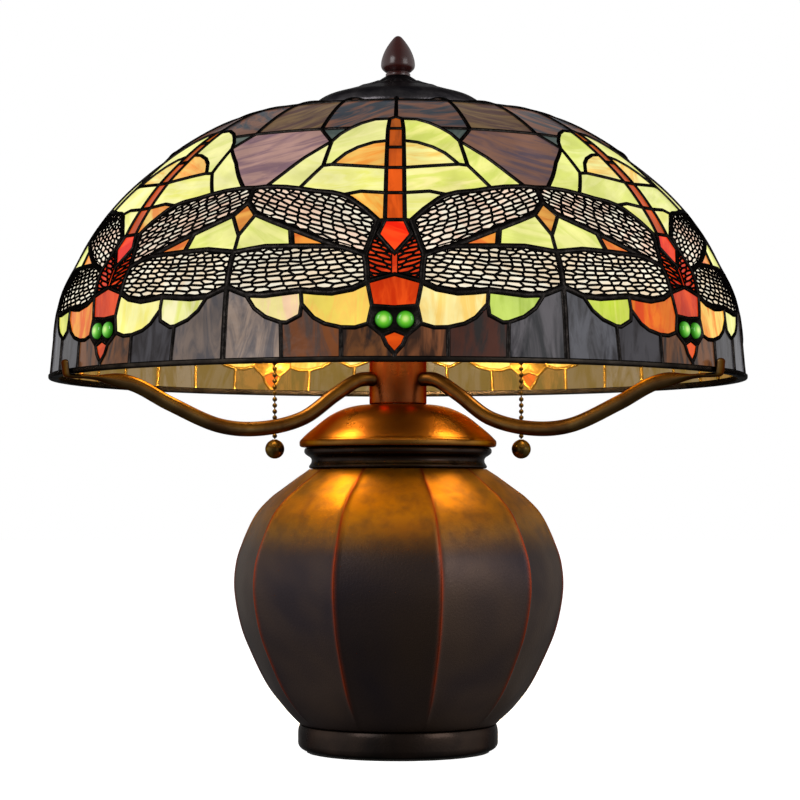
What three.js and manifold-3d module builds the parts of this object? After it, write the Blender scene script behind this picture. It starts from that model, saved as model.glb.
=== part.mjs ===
// A stained glass table lamp: a ten-sided bronze vase on a turned foot, a column with three bent arms that
// carry a domed shade of seven soldered sections, two pull-chain lampholders, a crown cap and a finial.
// Millimetres, +Z up, origin on the table under the lamp's axis, front towards -Y.
import * as THREE from "three";
import { mergeVertices } from "three/addons/utils/BufferGeometryUtils.js";
import Module from "manifold-3d";

const wasm = await Module();
wasm.setup();

// Driving dimensions.
const GAP = 0.3; // between pieces that touch
const FELT = { inset: 5.5, thickness: 1.2 };
const FOOT = { lip: 1.1, height: 17, cornerRadius: 5 };
const VASE = { radius: 109, height: 168.5, neckRadius: 59, wall: 5, panels: 10, ribTurn: 14.4 };
const COLLAR = { width: 9, waist: 1.5, lip: 3.5, height: 14 };
const CAP = { overhang: 3, height: 28.3, wall: 2, shoulder: 1 };
const COLUMN = { radius: 19, wall: 3, height: 32, armHeight: 16 };
const PIPE = { radius: 5, bore: 3.4, clearance: 0.35 };
const STUD = { grip: 12 }; // how far the finial's stud goes down into the pipe
const NUT = { acrossFlats: 17, height: 4.5 };
const WASHER = { radius: 12, thickness: 2 };
const GLAND = { holeRadius: 3.3, wall: 1.5, flange: 2.2, length: 16 };
const ARM = { tubeRadius: 4.75, drop: 33.5, tongueWidth: 11, tongueThickness: 3, hookHeight: 9 };
const ARM_TURN = -2; // degrees that the three arms are turned from the front's own thirds
const SHADE = { radius: 228.6, height: 175.5, glass: 3, opening: 42, sections: 7, seam: 0.3, turn: -0.5 };
const CAME = { wall: 1.2, base: 1.7, height: 4 };
const EYE = { radius: 5, web: 2.3, height: 22, bulge: 2.6, clearance: 0.35, sides: 8 };
const RING = { width: 7.7, thickness: 4 };
const CROWN = { overlap: 16, height: 25, wall: 1.5, neckRadius: 8.5 };
const FINIAL = { radius: 11.3, height: 27, neckRadius: 8.2, boreDepth: 10 };
const CLUSTER = { radius: 21, height: 32, axisHeight: 16 };
const HOLDER = { tilt: 40, nipple: 5, reach: 11, capLength: 12, insulator: 1.9, wall: 0.9, length: 42 };
const SCREW = { radius: 13, length: 24, clearance: 0.4 };
const BULB = { radius: 23.5, length: 64, wall: 1 };
const CHAIN = { offset: 82, bead: 1.6, link: 0.6, pitch: 4.06, beads: 18, ball: 6.4 };
const GUIDE = { clearance: 1, wall: 1, along: 25.7, straight: 15, height: 18 };
const LINK_LENGTH = 13;
const ROUND = 32; // sides of a large turned piece
const MEDIUM = 16; // sides of a lampholder
const SMALL = 12; // sides of a pipe or a knob
const FACETS = SHADE.sections * 5; // sides of the shade

// Radii that follow from what a piece fits.
const vaseFootRadius = VASE.radius * 0.6;
const footRadius = vaseFootRadius + FOOT.lip;
const collarBore = VASE.neckRadius - COLLAR.width;
const lipRadius = VASE.neckRadius + COLLAR.lip;
const capRadius = lipRadius + CAP.overhang;
const pipeHole = PIPE.radius + PIPE.clearance;
const glandRadius = GLAND.holeRadius + GLAND.wall;
const screwHole = SCREW.radius + SCREW.clearance;
const insulatorRadius = screwHole + HOLDER.insulator;
const holderInner = insulatorRadius + GAP;
const holderRadius = holderInner + HOLDER.wall;
const guideBore = CHAIN.bead + GUIDE.clearance;
const crownRadius = SHADE.opening + CROWN.overlap;

// Heights that follow from the stack of pieces.
const footBase = FELT.thickness + GAP;
const glandAxis = footBase + FOOT.height / 2;
const vaseBase = footBase + FOOT.height + GAP;
const collarBase = vaseBase + VASE.height + GAP;
const capBase = collarBase + COLLAR.height + GAP;
const columnBase = capBase + CAP.height + GAP;
const armAxis = columnBase + COLUMN.armHeight;
const clusterBase = columnBase + COLUMN.height + GAP;
const clusterAxis = clusterBase + CLUSTER.axisHeight;
const guideMouth = clusterBase + GUIDE.height;
const rimBase = armAxis - ARM.drop * 0.03;
const glassBase = rimBase + CAME.base + GAP;
const domeTop = glassBase + SHADE.height;
const crownBase = domeTop + GAP;
const finialBase = crownBase + CROWN.height + GAP;
const pipeBase = footBase + GAP;
const pipeTop = finialBase - 1;
const studBase = pipeTop - STUD.grip;
const studTop = finialBase + FINIAL.boreDepth - 1;
const studRadius = PIPE.bore - GAP;
const studHole = studRadius + PIPE.clearance;
const recess = WASHER.thickness + NUT.height + 3 * GAP; // under the foot, for the nut and washer

const STEEL = new THREE.MeshStandardMaterial({ color: 0x9a9a96, roughness: 0.4, metalness: 1 });
const BRONZE = new THREE.MeshStandardMaterial({ color: 0x4a2f1c, roughness: 0.38, metalness: 0.8 });
const PATINA = new THREE.MeshStandardMaterial({ color: 0x33251f, roughness: 0.45, metalness: 0.5 });
const BRASS = new THREE.MeshStandardMaterial({ color: 0x8a6a35, roughness: 0.35, metalness: 1 });
const GLASS = new THREE.MeshStandardMaterial({ color: 0xd8c65a, roughness: 0.25, metalness: 0 });
const JEWEL = new THREE.MeshStandardMaterial({ color: 0x4fae1c, roughness: 0.08, metalness: 0 });
const LEAD = new THREE.MeshStandardMaterial({ color: 0x33323a, roughness: 0.5, metalness: 0.7 });
const ACORN = new THREE.MeshStandardMaterial({ color: 0x2a1010, roughness: 0.25, metalness: 0.2 });
const PORCELAIN = new THREE.MeshStandardMaterial({ color: 0xe6e0d2, roughness: 0.3, metalness: 0 });
const FROSTED = new THREE.MeshStandardMaterial({ color: 0xf6e9cf, roughness: 0.5, metalness: 0 });
const DARK_FELT = new THREE.MeshStandardMaterial({ color: 0x2b2a26, roughness: 1, metalness: 0 });
const RUBBER = new THREE.MeshStandardMaterial({ color: 0x151414, roughness: 0.8, metalness: 0 });

const lamp = new THREE.Group();
lamp.name = "stained_glass_table_lamp";

// Adds a named piece to a group and returns its mesh.
function piece(name, geometry, material, parent = lamp) {
  const mesh = new THREE.Mesh(geometry, material);
  mesh.name = name;
  parent.add(mesh);
  return mesh;
}

// A solid of revolution about +Z from a closed outline of [radius, height] points.
function turned(outline, sides = ROUND) {
  const area = outline.reduce((sum, [r, z], i) => {
    const [r2, z2] = outline[(i + 1) % outline.length];
    return sum + r * z2 - r2 * z;
  }, 0);
  const points = outline.map(([r, z]) => new THREE.Vector2(r, z));
  if (area < 0) points.reverse();
  const onAxis = points.filter((p) => p.x === 0).length;
  if (onAxis === 2) {
    while (points[0].x !== 0 || points[points.length - 1].x !== 0) points.push(points.shift());
  } else {
    points.push(points[0].clone());
  }
  return new THREE.LatheGeometry(points, sides).rotateX(Math.PI / 2);
}

// A tube between two heights.
function ring(inner, outer, low, high, sides = ROUND) {
  return turned([[inner, low], [outer, low], [outer, high], [inner, high]], sides);
}

// A round rod through point `at` along `direction`, `length` long.
function rod(radius, length, at, direction, sides = SMALL) {
  const geometry = new THREE.CylinderGeometry(radius, radius, length, sides).translate(0, length / 2, 0);
  const along = direction.clone().normalize();
  const turn = new THREE.Quaternion().setFromUnitVectors(new THREE.Vector3(0, 1, 0), along);
  return geometry.applyQuaternion(turn).translate(at.x, at.y, at.z);
}

function solid(geometry) {
  const bare = geometry.clone();
  bare.deleteAttribute("normal");
  bare.deleteAttribute("uv");
  const merged = mergeVertices(bare, 1e-4);
  return new wasm.Manifold(new wasm.Mesh({
    numProp: 3,
    vertProperties: merged.attributes.position.array,
    triVerts: new Uint32Array(merged.index.array),
  }));
}

function surface(manifold) {
  const mesh = manifold.getMesh();
  return new THREE.BufferGeometry()
    .setAttribute("position", new THREE.BufferAttribute(mesh.vertProperties, 3))
    .setIndex(new THREE.BufferAttribute(mesh.triVerts, 1));
}

// A round section, with an optional bore, carried along a curve.
function tube(curve, radius, sides, steps, bore = 0) {
  const section = new THREE.Shape().absarc(0, 0, radius, 0, 2 * Math.PI);
  if (bore) section.holes.push(new THREE.Path().absarc(0, 0, bore, 0, 2 * Math.PI, true));
  return new THREE.ExtrudeGeometry(section, {
    extrudePath: curve,
    steps,
    curveSegments: sides / 2,
    bevelEnabled: false,
  });
}

const UP = new THREE.Vector3(0, 0, 1);
const front = new THREE.Vector3(0, -1, 0);
const back = new THREE.Vector3(0, 1, 0);
// The direction at an angle from the front, positive to the right seen from the front.
const facing = (angle) => front.clone().applyAxisAngle(UP, angle);

// ---- Foot, vase, collar, cap and column ----

function foot() {
  const { height, cornerRadius } = FOOT;
  const radius = footRadius;
  const corner = [30, 60].map((degrees) => {
    const a = THREE.MathUtils.degToRad(degrees);
    return [radius - cornerRadius * (1 - Math.sin(a)), footBase + cornerRadius * (1 - Math.cos(a))];
  });
  const body = turned([
    [pipeHole, footBase + recess], [WASHER.radius + 2, footBase + recess], [WASHER.radius + 2, footBase],
    [radius - cornerRadius, footBase], ...corner, [radius, footBase + cornerRadius],
    [radius, footBase + height - 1], [radius - 1, footBase + height], [pipeHole, footBase + height],
  ]);
  const channel = rod(glandRadius + GAP, radius, new THREE.Vector3(0, WASHER.radius, glandAxis), back);
  return surface(solid(body).subtract(solid(channel)));
}

// The share of the widest radius that the vase's outline has at each share of its height, between its ends.
const VASE_OUTLINE = [
  [0.7, 0.065], [0.8, 0.15], [0.89, 0.265], [0.96, 0.38], [1, 0.52], [0.99, 0.63], [0.945, 0.72],
  [0.87, 0.82], [0.78, 0.885], [0.7, 0.925],
];

// The vase: a closed shell whose sections turn from round at both ends to ten flat panels in the middle.
function vase() {
  const { radius, height, neckRadius, wall, panels, ribTurn } = VASE;
  const outer = [
    new THREE.Vector2(vaseFootRadius, vaseBase),
    ...VASE_OUTLINE.map(([share, at]) => new THREE.Vector2(share * radius, vaseBase + at * height)),
    new THREE.Vector2(neckRadius, vaseBase + height),
  ];
  const inner = outer.map((p, i) => {
    const before = outer[Math.max(i - 1, 0)];
    const after = outer[Math.min(i + 1, outer.length - 1)];
    const along = after.clone().sub(before).normalize();
    return new THREE.Vector2(p.x - along.y * wall, p.y + along.x * wall * (i ? 1 : 0));
  });
  inner[inner.length - 1].y = vaseBase + height;
  const loop = [...outer, ...inner.reverse()].map((p) => [p.x, p.y]);
  const half = Math.PI / panels;
  const start = THREE.MathUtils.degToRad(ribTurn);
  const geometry = turned(loop, panels * 2).rotateZ(start);
  const position = geometry.attributes.position;
  for (let i = 0; i < position.count; i++) {
    const x = position.getX(i);
    const y = position.getY(i);
    const up = (position.getZ(i) - vaseBase) / height;
    const angle = THREE.MathUtils.euclideanModulo(Math.atan2(x, -y) - start, 2 * half) - half;
    const panel = Math.cos(half) / Math.cos(angle);
    const fade = THREE.MathUtils.smoothstep(up, 0, 0.2) * (1 - THREE.MathUtils.smoothstep(up, 0.85, 1));
    const scale = 1 + (panel - 1) * 0.8 * fade;
    position.setXY(i, x * scale, y * scale);
  }
  return geometry;
}

function collar() {
  const { height } = COLLAR;
  const waistRadius = VASE.neckRadius - COLLAR.waist;
  return turned([
    [collarBore, collarBase], [VASE.neckRadius, collarBase], [waistRadius, collarBase + height * 0.35],
    [waistRadius + 1, collarBase + height * 0.6], [lipRadius, collarBase + height * 0.92],
    [lipRadius, collarBase + height], [collarBore, collarBase + height],
  ]);
}

function vaseCap() {
  const { height, wall } = CAP;
  const radius = capRadius;
  const topRadius = COLUMN.radius + CAP.shoulder;
  const outside = [
    [radius - 2.5, 0], [radius, height * 0.09], [radius, height * 0.17], [radius * 0.86, height * 0.45],
    [radius * 0.7, height * 0.75], [radius * 0.55, height * 0.92], [topRadius, height], [pipeHole, height],
  ];
  const inside = [
    [pipeHole, height - wall], [topRadius, height - wall], [radius * 0.68, height * 0.75 - wall],
    [radius * 0.86, height * 0.16], [collarBore, height * 0.16], [collarBore, 0],
  ];
  return turned([...outside, ...inside].map(([r, z]) => [r, capBase + z]));
}

const armAngles = [-60, 60, 180].map((degrees) => THREE.MathUtils.degToRad(degrees + ARM_TURN));

function column() {
  const { radius, wall, height } = COLUMN;
  let body = solid(ring(radius - wall, radius, columnBase, columnBase + height));
  for (const angle of armAngles) {
    const hole = rod(ARM.tubeRadius + GAP, radius * 2, new THREE.Vector3(0, 0, armAxis), facing(angle));
    body = body.subtract(solid(hole));
  }
  return surface(body);
}

// ---- Arms ----

// The share of its drop that an arm has reached at each share of its length outwards.
const ARM_BENDS = [
  [0.07, 0.02], [0.155, 0.32], [0.27, 0.79], [0.415, 1], [0.56, 0.95], [0.72, 0.56], [0.85, 0.19],
];

// An arm in the XZ plane: a bent tube whose end is flattened into a tongue that hooks over the shade's rim.
function arm() {
  const start = COLUMN.radius - COLUMN.wall - 1;
  const end = cameInner - 3;
  const seat = rimBase - GAP;
  const tubeEnd = seat - ARM.tongueThickness / 2 - armAxis;
  const points = ARM_BENDS.map(([along, down]) =>
    new THREE.Vector3(start + (end - start) * along, 0, armAxis - ARM.drop * down));
  const route = new THREE.CatmullRomCurve3([
    new THREE.Vector3(start, 0, armAxis), ...points, new THREE.Vector3(end, 0, armAxis + tubeEnd),
  ]);
  const bent = tube(route, ARM.tubeRadius, 8, 26);
  const inside = cameOuter + 2 * GAP;
  const t = ARM.tongueThickness;
  const side = new THREE.Shape([
    new THREE.Vector2(end - 12, seat - t), new THREE.Vector2(inside, seat - t),
    new THREE.Vector2(inside + t, seat), new THREE.Vector2(inside + t + 1, seat + ARM.hookHeight),
    new THREE.Vector2(inside + 1, seat + ARM.hookHeight), new THREE.Vector2(inside, seat),
    new THREE.Vector2(end - 12, seat),
  ]);
  const tongue = new THREE.ExtrudeGeometry(side, { depth: ARM.tongueWidth, bevelEnabled: false })
    .translate(0, 0, -ARM.tongueWidth / 2).rotateX(Math.PI / 2);
  return surface(solid(bent).add(solid(tongue)));
}

// ---- Shade ----

// The dome's outline as shares of its radius and height, from the rim to the top opening.
const DOME = [
  [1, 0], [0.976, 0.258], [0.926, 0.405], [0.866, 0.541], [0.772, 0.688], [0.62, 0.852], [0.437, 0.965],
];
const domeCurve = new THREE.SplineCurve([
  ...DOME.map(([r, z]) => new THREE.Vector2(r * SHADE.radius, glassBase + z * SHADE.height)),
  new THREE.Vector2(SHADE.opening, domeTop),
]);

function dome() {
  const steps = 9;
  const outer = domeCurve.getPoints(steps);
  const inner = outer.map((p, i) => {
    const along = domeCurve.getTangent(i / steps);
    return new THREE.Vector2(p.x - along.y * SHADE.glass, p.y + along.x * SHADE.glass);
  });
  inner[0].y = outer[0].y;
  inner[steps].x = outer[steps].x;
  return turned([...outer, ...inner.reverse()].map((p) => [p.x, p.y]), FACETS).rotateZ(shadeTurn);
}

const shadeTurn = THREE.MathUtils.degToRad(SHADE.turn);
const sectionAngle = (2 * Math.PI) / SHADE.sections;
const sectionFacing = (index) => index * sectionAngle + shadeTurn;

// Where the dome's outside is at a height above its edge: [radius, lean from the vertical].
function domeAt(height) {
  let t = 0;
  while (domeCurve.getPoint(t).y < glassBase + height) t += 0.001;
  const along = domeCurve.getTangent(t);
  return [domeCurve.getPoint(t).x, Math.atan2(-along.x, along.y)];
}

// The came's slot follows the glass that stands in it, which leans in as it rises.
const slotOuter = SHADE.radius + GAP;
const slotInner = domeAt(CAME.height - CAME.base)[0] - SHADE.glass - 2 * GAP;
const cameOuter = slotOuter + CAME.wall;
const cameInner = slotInner - CAME.wall;

// Places for the two eyes of each dragonfly: where they are, and the turn that faces +Z out of the glass.
function eyes(index) {
  const [radius, lean] = domeAt(EYE.height);
  return [-1, 1].map((side) => {
    const angle = sectionFacing(index) + (side * (EYE.radius + EYE.web / 2)) / radius;
    const out = facing(angle);
    const at = out.clone().multiplyScalar(radius).setZ(glassBase + EYE.height);
    const direction = out.multiplyScalar(Math.cos(lean)).setZ(Math.sin(lean));
    return { at, turn: new THREE.Quaternion().setFromUnitVectors(UP, direction) };
  });
}

// One seventh of the dome, centred on its dragonfly, with holes for the eyes.
function section(whole, index) {
  const reach = SHADE.radius * 1.3;
  const half = sectionAngle / 2;
  const middle = sectionFacing(index) - Math.PI / 2;
  const wedge = new THREE.Shape([
    new THREE.Vector2(0, 0),
    new THREE.Vector2(Math.cos(middle - half), Math.sin(middle - half)).multiplyScalar(reach),
    new THREE.Vector2(Math.cos(middle), Math.sin(middle)).multiplyScalar(reach),
    new THREE.Vector2(Math.cos(middle + half), Math.sin(middle + half)).multiplyScalar(reach),
  ]);
  const shift = SHADE.seam / 2 / Math.sin(half);
  const slab = new THREE.ExtrudeGeometry(wedge, { depth: SHADE.height * 1.4, bevelEnabled: false })
    .translate(Math.cos(middle) * shift, Math.sin(middle) * shift, glassBase - SHADE.height * 0.2);
  let made = whole.intersect(solid(slab));
  for (const { at, turn } of eyes(index)) {
    const radius = EYE.radius + EYE.clearance;
    const hole = new THREE.CylinderGeometry(radius, radius, 6 * SHADE.glass, EYE.sides)
      .rotateX(Math.PI / 2).applyQuaternion(turn).translate(at.x, at.y, at.z);
    made = made.subtract(solid(hole));
  }
  return surface(made);
}

// A glass cabochon about +Z: a disc as deep as the glass with a domed front.
function cabochon() {
  const { radius, bulge } = EYE;
  return turned([
    [0, -SHADE.glass], [radius, -SHADE.glass], [radius, 0], [radius * 0.7, bulge * 0.75], [0, bulge],
  ], EYE.sides);
}

function rimCame() {
  const low = rimBase;
  const high = rimBase + CAME.height;
  return turned([
    [cameInner, low], [cameOuter, low], [cameOuter, high], [slotOuter, high],
    [slotOuter, low + CAME.base], [slotInner, low + CAME.base], [slotInner, high], [cameInner, high],
  ], FACETS).rotateZ(shadeTurn);
}

function crownRing() {
  const outer = SHADE.opening - GAP;
  return ring(outer - RING.width, outer, domeTop - RING.thickness, domeTop - 0.2, FACETS).rotateZ(shadeTurn);
}

function crownCap() {
  const { height, wall, neckRadius } = CROWN;
  const radius = crownRadius;
  const z = (share) => crownBase + share * height;
  return turned([
    [radius, z(0)], [radius, z(0.09)], [radius * 0.93, z(0.3)], [radius * 0.83, z(0.42)],
    [radius * 0.55, z(0.62)], [radius * 0.38, z(0.73)], [radius * 0.2, z(0.97)], [neckRadius, z(1)],
    [pipeHole, z(1)],
    [pipeHole, z(1) - 2 * wall], [radius * 0.36, z(0.73) - wall], [radius * 0.8, z(0.42) - wall],
    [radius - wall, z(0.05)], [radius - wall, z(0)],
  ]);
}

function finial() {
  const { radius, height, neckRadius, boreDepth } = FINIAL;
  const z = (share) => finialBase + share * height;
  return turned([
    [studHole, z(0)], [neckRadius, z(0)], [neckRadius, z(0.06)], [radius * 0.8, z(0.12)],
    [radius * 0.97, z(0.2)], [radius, z(0.28)], [radius * 0.9, z(0.48)], [radius * 0.66, z(0.72)],
    [radius * 0.4, z(0.89)], [radius * 0.17, z(0.985)], [0, z(1)], [0, finialBase + boreDepth],
    [studHole, finialBase + boreDepth],
  ], SMALL);
}

// ---- Light cluster: each lampholder is built about its own +Z axis ----

const tilt = THREE.MathUtils.degToRad(HOLDER.tilt);
const capStart = CLUSTER.radius + HOLDER.reach;
const shellStart = capStart + HOLDER.capLength + GAP;
const shellEnd = shellStart + HOLDER.length;
const screwBase = shellEnd - SCREW.length - 1;

function clusterBody() {
  const { radius, height } = CLUSTER;
  let body = solid(turned([
    [pipeHole, clusterBase], [radius * 0.9, clusterBase], [radius * 0.9, clusterBase + height * 0.15],
    [radius, clusterBase + height * 0.35], [radius, clusterBase + height * 0.65],
    [radius * 0.7, clusterBase + height * 0.9], [radius * 0.45, clusterBase + height],
    [pipeHole, clusterBase + height],
  ], MEDIUM));
  for (const side of [-1, 1]) {
    const direction = new THREE.Vector3(side * Math.cos(tilt), 0, Math.sin(tilt));
    const at = new THREE.Vector3(0, 0, clusterAxis).addScaledVector(direction, radius * 0.55);
    body = body.subtract(solid(rod(HOLDER.nipple + GAP, radius * 2, at, direction)));
  }
  return surface(body);
}

function holderCap() {
  const end = capStart + HOLDER.capLength;
  const hole = HOLDER.nipple + GAP;
  const neck = HOLDER.nipple * 1.7;
  return turned([
    [hole, capStart], [neck, capStart], [neck, capStart + 3],
    [holderRadius * 0.85, capStart + HOLDER.capLength * 0.55], [holderRadius, end], [hole, end],
  ], MEDIUM);
}

function holderShell() {
  return turned([
    [holderInner, shellStart], [holderRadius, shellStart], [holderRadius, shellEnd - 4],
    [holderRadius + 1, shellEnd - 2], [holderRadius + 1, shellEnd], [holderInner, shellEnd],
  ], MEDIUM);
}

function holderBody() {
  return turned([
    [0, shellStart + GAP], [insulatorRadius, shellStart + GAP], [insulatorRadius, shellEnd - 1],
    [screwHole, shellEnd - 1], [screwHole, screwBase - GAP], [0, screwBase - GAP],
  ], MEDIUM);
}

// A screw base with its contact button.
function bulbScrew() {
  return turned([
    [0, screwBase], [4.5, screwBase], [5.5, screwBase + 2], [SCREW.radius - 1.5, screwBase + 4],
    [SCREW.radius, screwBase + 6], [SCREW.radius, screwBase + SCREW.length], [0, screwBase + SCREW.length],
  ], MEDIUM);
}

// The bulb's glass: a thin shell, open where it meets the screw base.
function bulbGlass() {
  const base = screwBase + SCREW.length + GAP;
  const { radius, length, wall } = BULB;
  const neck = SCREW.radius;
  const outside = [
    [neck, 0], [neck + 0.5, length * 0.14], [radius * 0.8, length * 0.32],
    [radius * 0.98, length * 0.52], [radius * 0.98, length * 0.7], [radius * 0.76, length * 0.88],
    [radius * 0.36, length * 0.98], [0, length],
  ];
  const inside = outside.slice(0, -1).map(([r, z]) => {
    return [r - wall, Math.min(z, length - wall - (radius - r) * 0.02)];
  });
  inside.push([0, length - wall * 1.5]);
  return turned([...outside, ...inside.reverse()].map(([r, z]) => [r, base + z]), MEDIUM);
}

// The curved bell that leads the chain out of a lampholder and down.
function chainGuide(side) {
  const axis = new THREE.Vector3(side * Math.cos(tilt), 0, Math.sin(tilt));
  const out = new THREE.Vector3(side * Math.sin(tilt), 0, -Math.cos(tilt));
  const start = new THREE.Vector3(0, 0, clusterAxis)
    .addScaledVector(axis, shellStart + GUIDE.along).addScaledVector(out, holderRadius + GAP);
  const mouth = new THREE.Vector3(side * CHAIN.offset, 0, guideMouth);
  const bend = mouth.clone().setZ(guideMouth + GUIDE.straight);
  const route = new THREE.CurvePath();
  route.add(new THREE.CubicBezierCurve3(start, start.clone().addScaledVector(out, 8),
    bend.clone().setZ(bend.z + 8), bend));
  route.add(new THREE.LineCurve3(bend, mouth));
  return tube(route, guideBore + GUIDE.wall, 8, 8, guideBore);
}

// A string of beads on a wire, hanging down from its top, about +Z.
function beadChain(top) {
  const outline = [[0, top]];
  for (let i = 0; i < CHAIN.beads; i++) {
    outline.push([CHAIN.link, top - i * CHAIN.pitch]);
    outline.push([CHAIN.bead, top - (i + 0.5) * CHAIN.pitch]);
  }
  const end = top - CHAIN.beads * CHAIN.pitch;
  outline.push([CHAIN.link, end], [0, end]);
  return turned(outline, 6);
}

// ---- Assembly ----

const feltRadius = footRadius - FELT.inset;
piece("felt_pad", new THREE.CylinderGeometry(feltRadius, feltRadius, FELT.thickness, ROUND)
  .rotateX(Math.PI / 2).translate(0, 0, FELT.thickness / 2), DARK_FELT);
piece("foot", foot(), BRONZE);

const nutCorner = NUT.acrossFlats / 2 / Math.cos(Math.PI / 6);
const hexagon = new THREE.Shape([0, 1, 2, 3, 4, 5].map((i) =>
  new THREE.Vector2(nutCorner, 0).rotateAround(new THREE.Vector2(), (i * Math.PI) / 3)));
hexagon.holes.push(new THREE.Path().absarc(0, 0, pipeHole, 0, 2 * Math.PI, true));
const nut = new THREE.ExtrudeGeometry(hexagon, { depth: NUT.height, bevelEnabled: false, curveSegments: 8 });
piece("pipe_nut", nut, STEEL).position.z = pipeBase;
const washerBase = pipeBase + NUT.height + GAP;
piece("pipe_washer", ring(pipeHole, WASHER.radius, washerBase, washerBase + WASHER.thickness, MEDIUM), STEEL);
piece("lamp_pipe", ring(PIPE.bore, PIPE.radius, pipeBase, pipeTop, SMALL), STEEL);
piece("finial_stud", rod(studRadius, studTop - studBase, new THREE.Vector3(0, 0, studBase), UP), STEEL);

const flangeRadius = glandRadius + GLAND.flange;
const gland = turned([
  [GLAND.holeRadius, 0], [glandRadius, 0], [glandRadius, GLAND.length], [flangeRadius, GLAND.length],
  [flangeRadius, GLAND.length + 1.5], [GLAND.holeRadius + 0.8, GLAND.length + 3],
  [GLAND.holeRadius, GLAND.length + 3],
], SMALL).rotateX(-Math.PI / 2);
piece("cord_gland", gland, RUBBER).position.set(0, footRadius + GAP - GLAND.length, glandAxis);

piece("vase_body", vase(), PATINA);
piece("neck_collar", collar(), BRONZE);
piece("vase_cap", vaseCap(), BRONZE);
piece("column", column(), BRONZE);
["shade_arm_left", "shade_arm_right", "shade_arm_back"].forEach((name, i) => {
  piece(name, arm(), BRONZE).rotation.z = armAngles[i] - Math.PI / 2;
});

piece("cluster_body", clusterBody(), BRASS);
[["left", -1], ["right", 1]].forEach(([name, side]) => {
  const holder = new THREE.Group();
  holder.position.z = clusterAxis;
  holder.rotation.y = side * (Math.PI / 2 - tilt);
  lamp.add(holder);
  const nippleStart = CLUSTER.radius * 0.55 + 1;
  const nippleEnd = capStart + HOLDER.capLength - 1;
  piece(`nipple_${name}`, ring(PIPE.bore, HOLDER.nipple, nippleStart, nippleEnd, SMALL), STEEL, holder);
  piece(`socket_cap_${name}`, holderCap(), BRASS, holder);
  piece(`socket_shell_${name}`, holderShell(), BRASS, holder);
  piece(`socket_body_${name}`, holderBody(), PORCELAIN, holder);
  piece(`bulb_screw_${name}`, bulbScrew(), STEEL, holder);
  piece(`bulb_glass_${name}`, bulbGlass(), FROSTED, holder);
  piece(`chain_guide_${name}`, chainGuide(side), BRASS);

  const chainTop = guideMouth - GAP;
  const ballTop = chainTop - CHAIN.beads * CHAIN.pitch - GAP;
  piece(`pull_link_${name}`, new THREE.CylinderGeometry(CHAIN.bead, CHAIN.bead, LINK_LENGTH, 8)
    .rotateX(Math.PI / 2), BRASS).position.set(side * CHAIN.offset, 0, guideMouth + LINK_LENGTH / 2);
  piece(`pull_chain_${name}`, beadChain(chainTop), BRASS).position.x = side * CHAIN.offset;
  piece(`pull_ball_${name}`, new THREE.SphereGeometry(CHAIN.ball, SMALL, 8).rotateX(Math.PI / 2), BRASS)
    .position.set(side * CHAIN.offset, 0, ballTop - CHAIN.ball);
});

const whole = solid(dome());
for (let i = 0; i < SHADE.sections; i++) {
  piece(`shade_section_${i + 1}`, section(whole, i), GLASS);
  eyes(i).forEach(({ at, turn }, j) => {
    const mesh = piece(`eye_jewel_${i + 1}${"ab"[j]}`, cabochon(), JEWEL);
    mesh.position.copy(at);
    mesh.quaternion.copy(turn);
  });
}
piece("rim_came", rimCame(), LEAD);
piece("crown_ring", crownRing(), BRASS);
piece("crown_cap", crownCap(), BRONZE);
piece("finial", finial(), ACORN);

export default lamp;
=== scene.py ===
import math

import bpy
import numpy as np
from mathutils.geometry import delaunay_2d_cdt
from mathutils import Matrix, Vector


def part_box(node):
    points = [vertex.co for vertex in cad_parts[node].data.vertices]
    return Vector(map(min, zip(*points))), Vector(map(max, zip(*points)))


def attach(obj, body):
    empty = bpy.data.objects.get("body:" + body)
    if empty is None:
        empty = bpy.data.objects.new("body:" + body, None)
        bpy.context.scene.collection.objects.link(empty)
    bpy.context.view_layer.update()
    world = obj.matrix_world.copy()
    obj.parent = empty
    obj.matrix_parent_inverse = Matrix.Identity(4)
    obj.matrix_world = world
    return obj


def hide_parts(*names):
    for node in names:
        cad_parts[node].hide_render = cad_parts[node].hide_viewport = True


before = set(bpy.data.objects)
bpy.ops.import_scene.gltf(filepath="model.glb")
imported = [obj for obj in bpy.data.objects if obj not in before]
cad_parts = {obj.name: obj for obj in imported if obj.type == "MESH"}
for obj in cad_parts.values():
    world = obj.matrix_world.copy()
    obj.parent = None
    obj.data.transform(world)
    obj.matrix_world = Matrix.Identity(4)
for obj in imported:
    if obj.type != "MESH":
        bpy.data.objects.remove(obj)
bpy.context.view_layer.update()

scene = bpy.context.scene

# ---- Camera: level with the vase's shoulders, looking along +Y ----

camera = bpy.data.objects.new("camera", bpy.data.cameras.new("camera"))
scene.collection.objects.link(camera)
camera.location = (0, -1.52, 0.1695)
camera.rotation_euler = (math.radians(90), 0, 0)
camera.data.lens = 102.8
camera.data.sensor_width = 36
camera.data.shift_x = 0.0025
camera.data.shift_y = 0.12
scene.camera = camera

# ---- Making meshes, in millimetres ----


def weld(points, faces):
    """Points that round to the same hundredth of a millimetre become one, and a face that has lost a corner keeps
    the other three. Returns the points, the faces by their number of corners, and which points were kept."""
    keys = np.round(points, 2) + 0.0
    _, first, place = np.unique(keys, axis=0, return_index=True, return_inverse=True)
    place = place.ravel()
    kept = []
    for group in faces:
        group = place[group]
        differs = group != np.roll(group, -1, axis=1)
        count = differs.sum(1)
        if group.shape[1] == 4:
            kept.append(group[count == 4])
        kept.append(group[count == 3][differs[count == 3]].reshape(-1, 3))
    return points[first], [group for group in kept if len(group)], first


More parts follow.
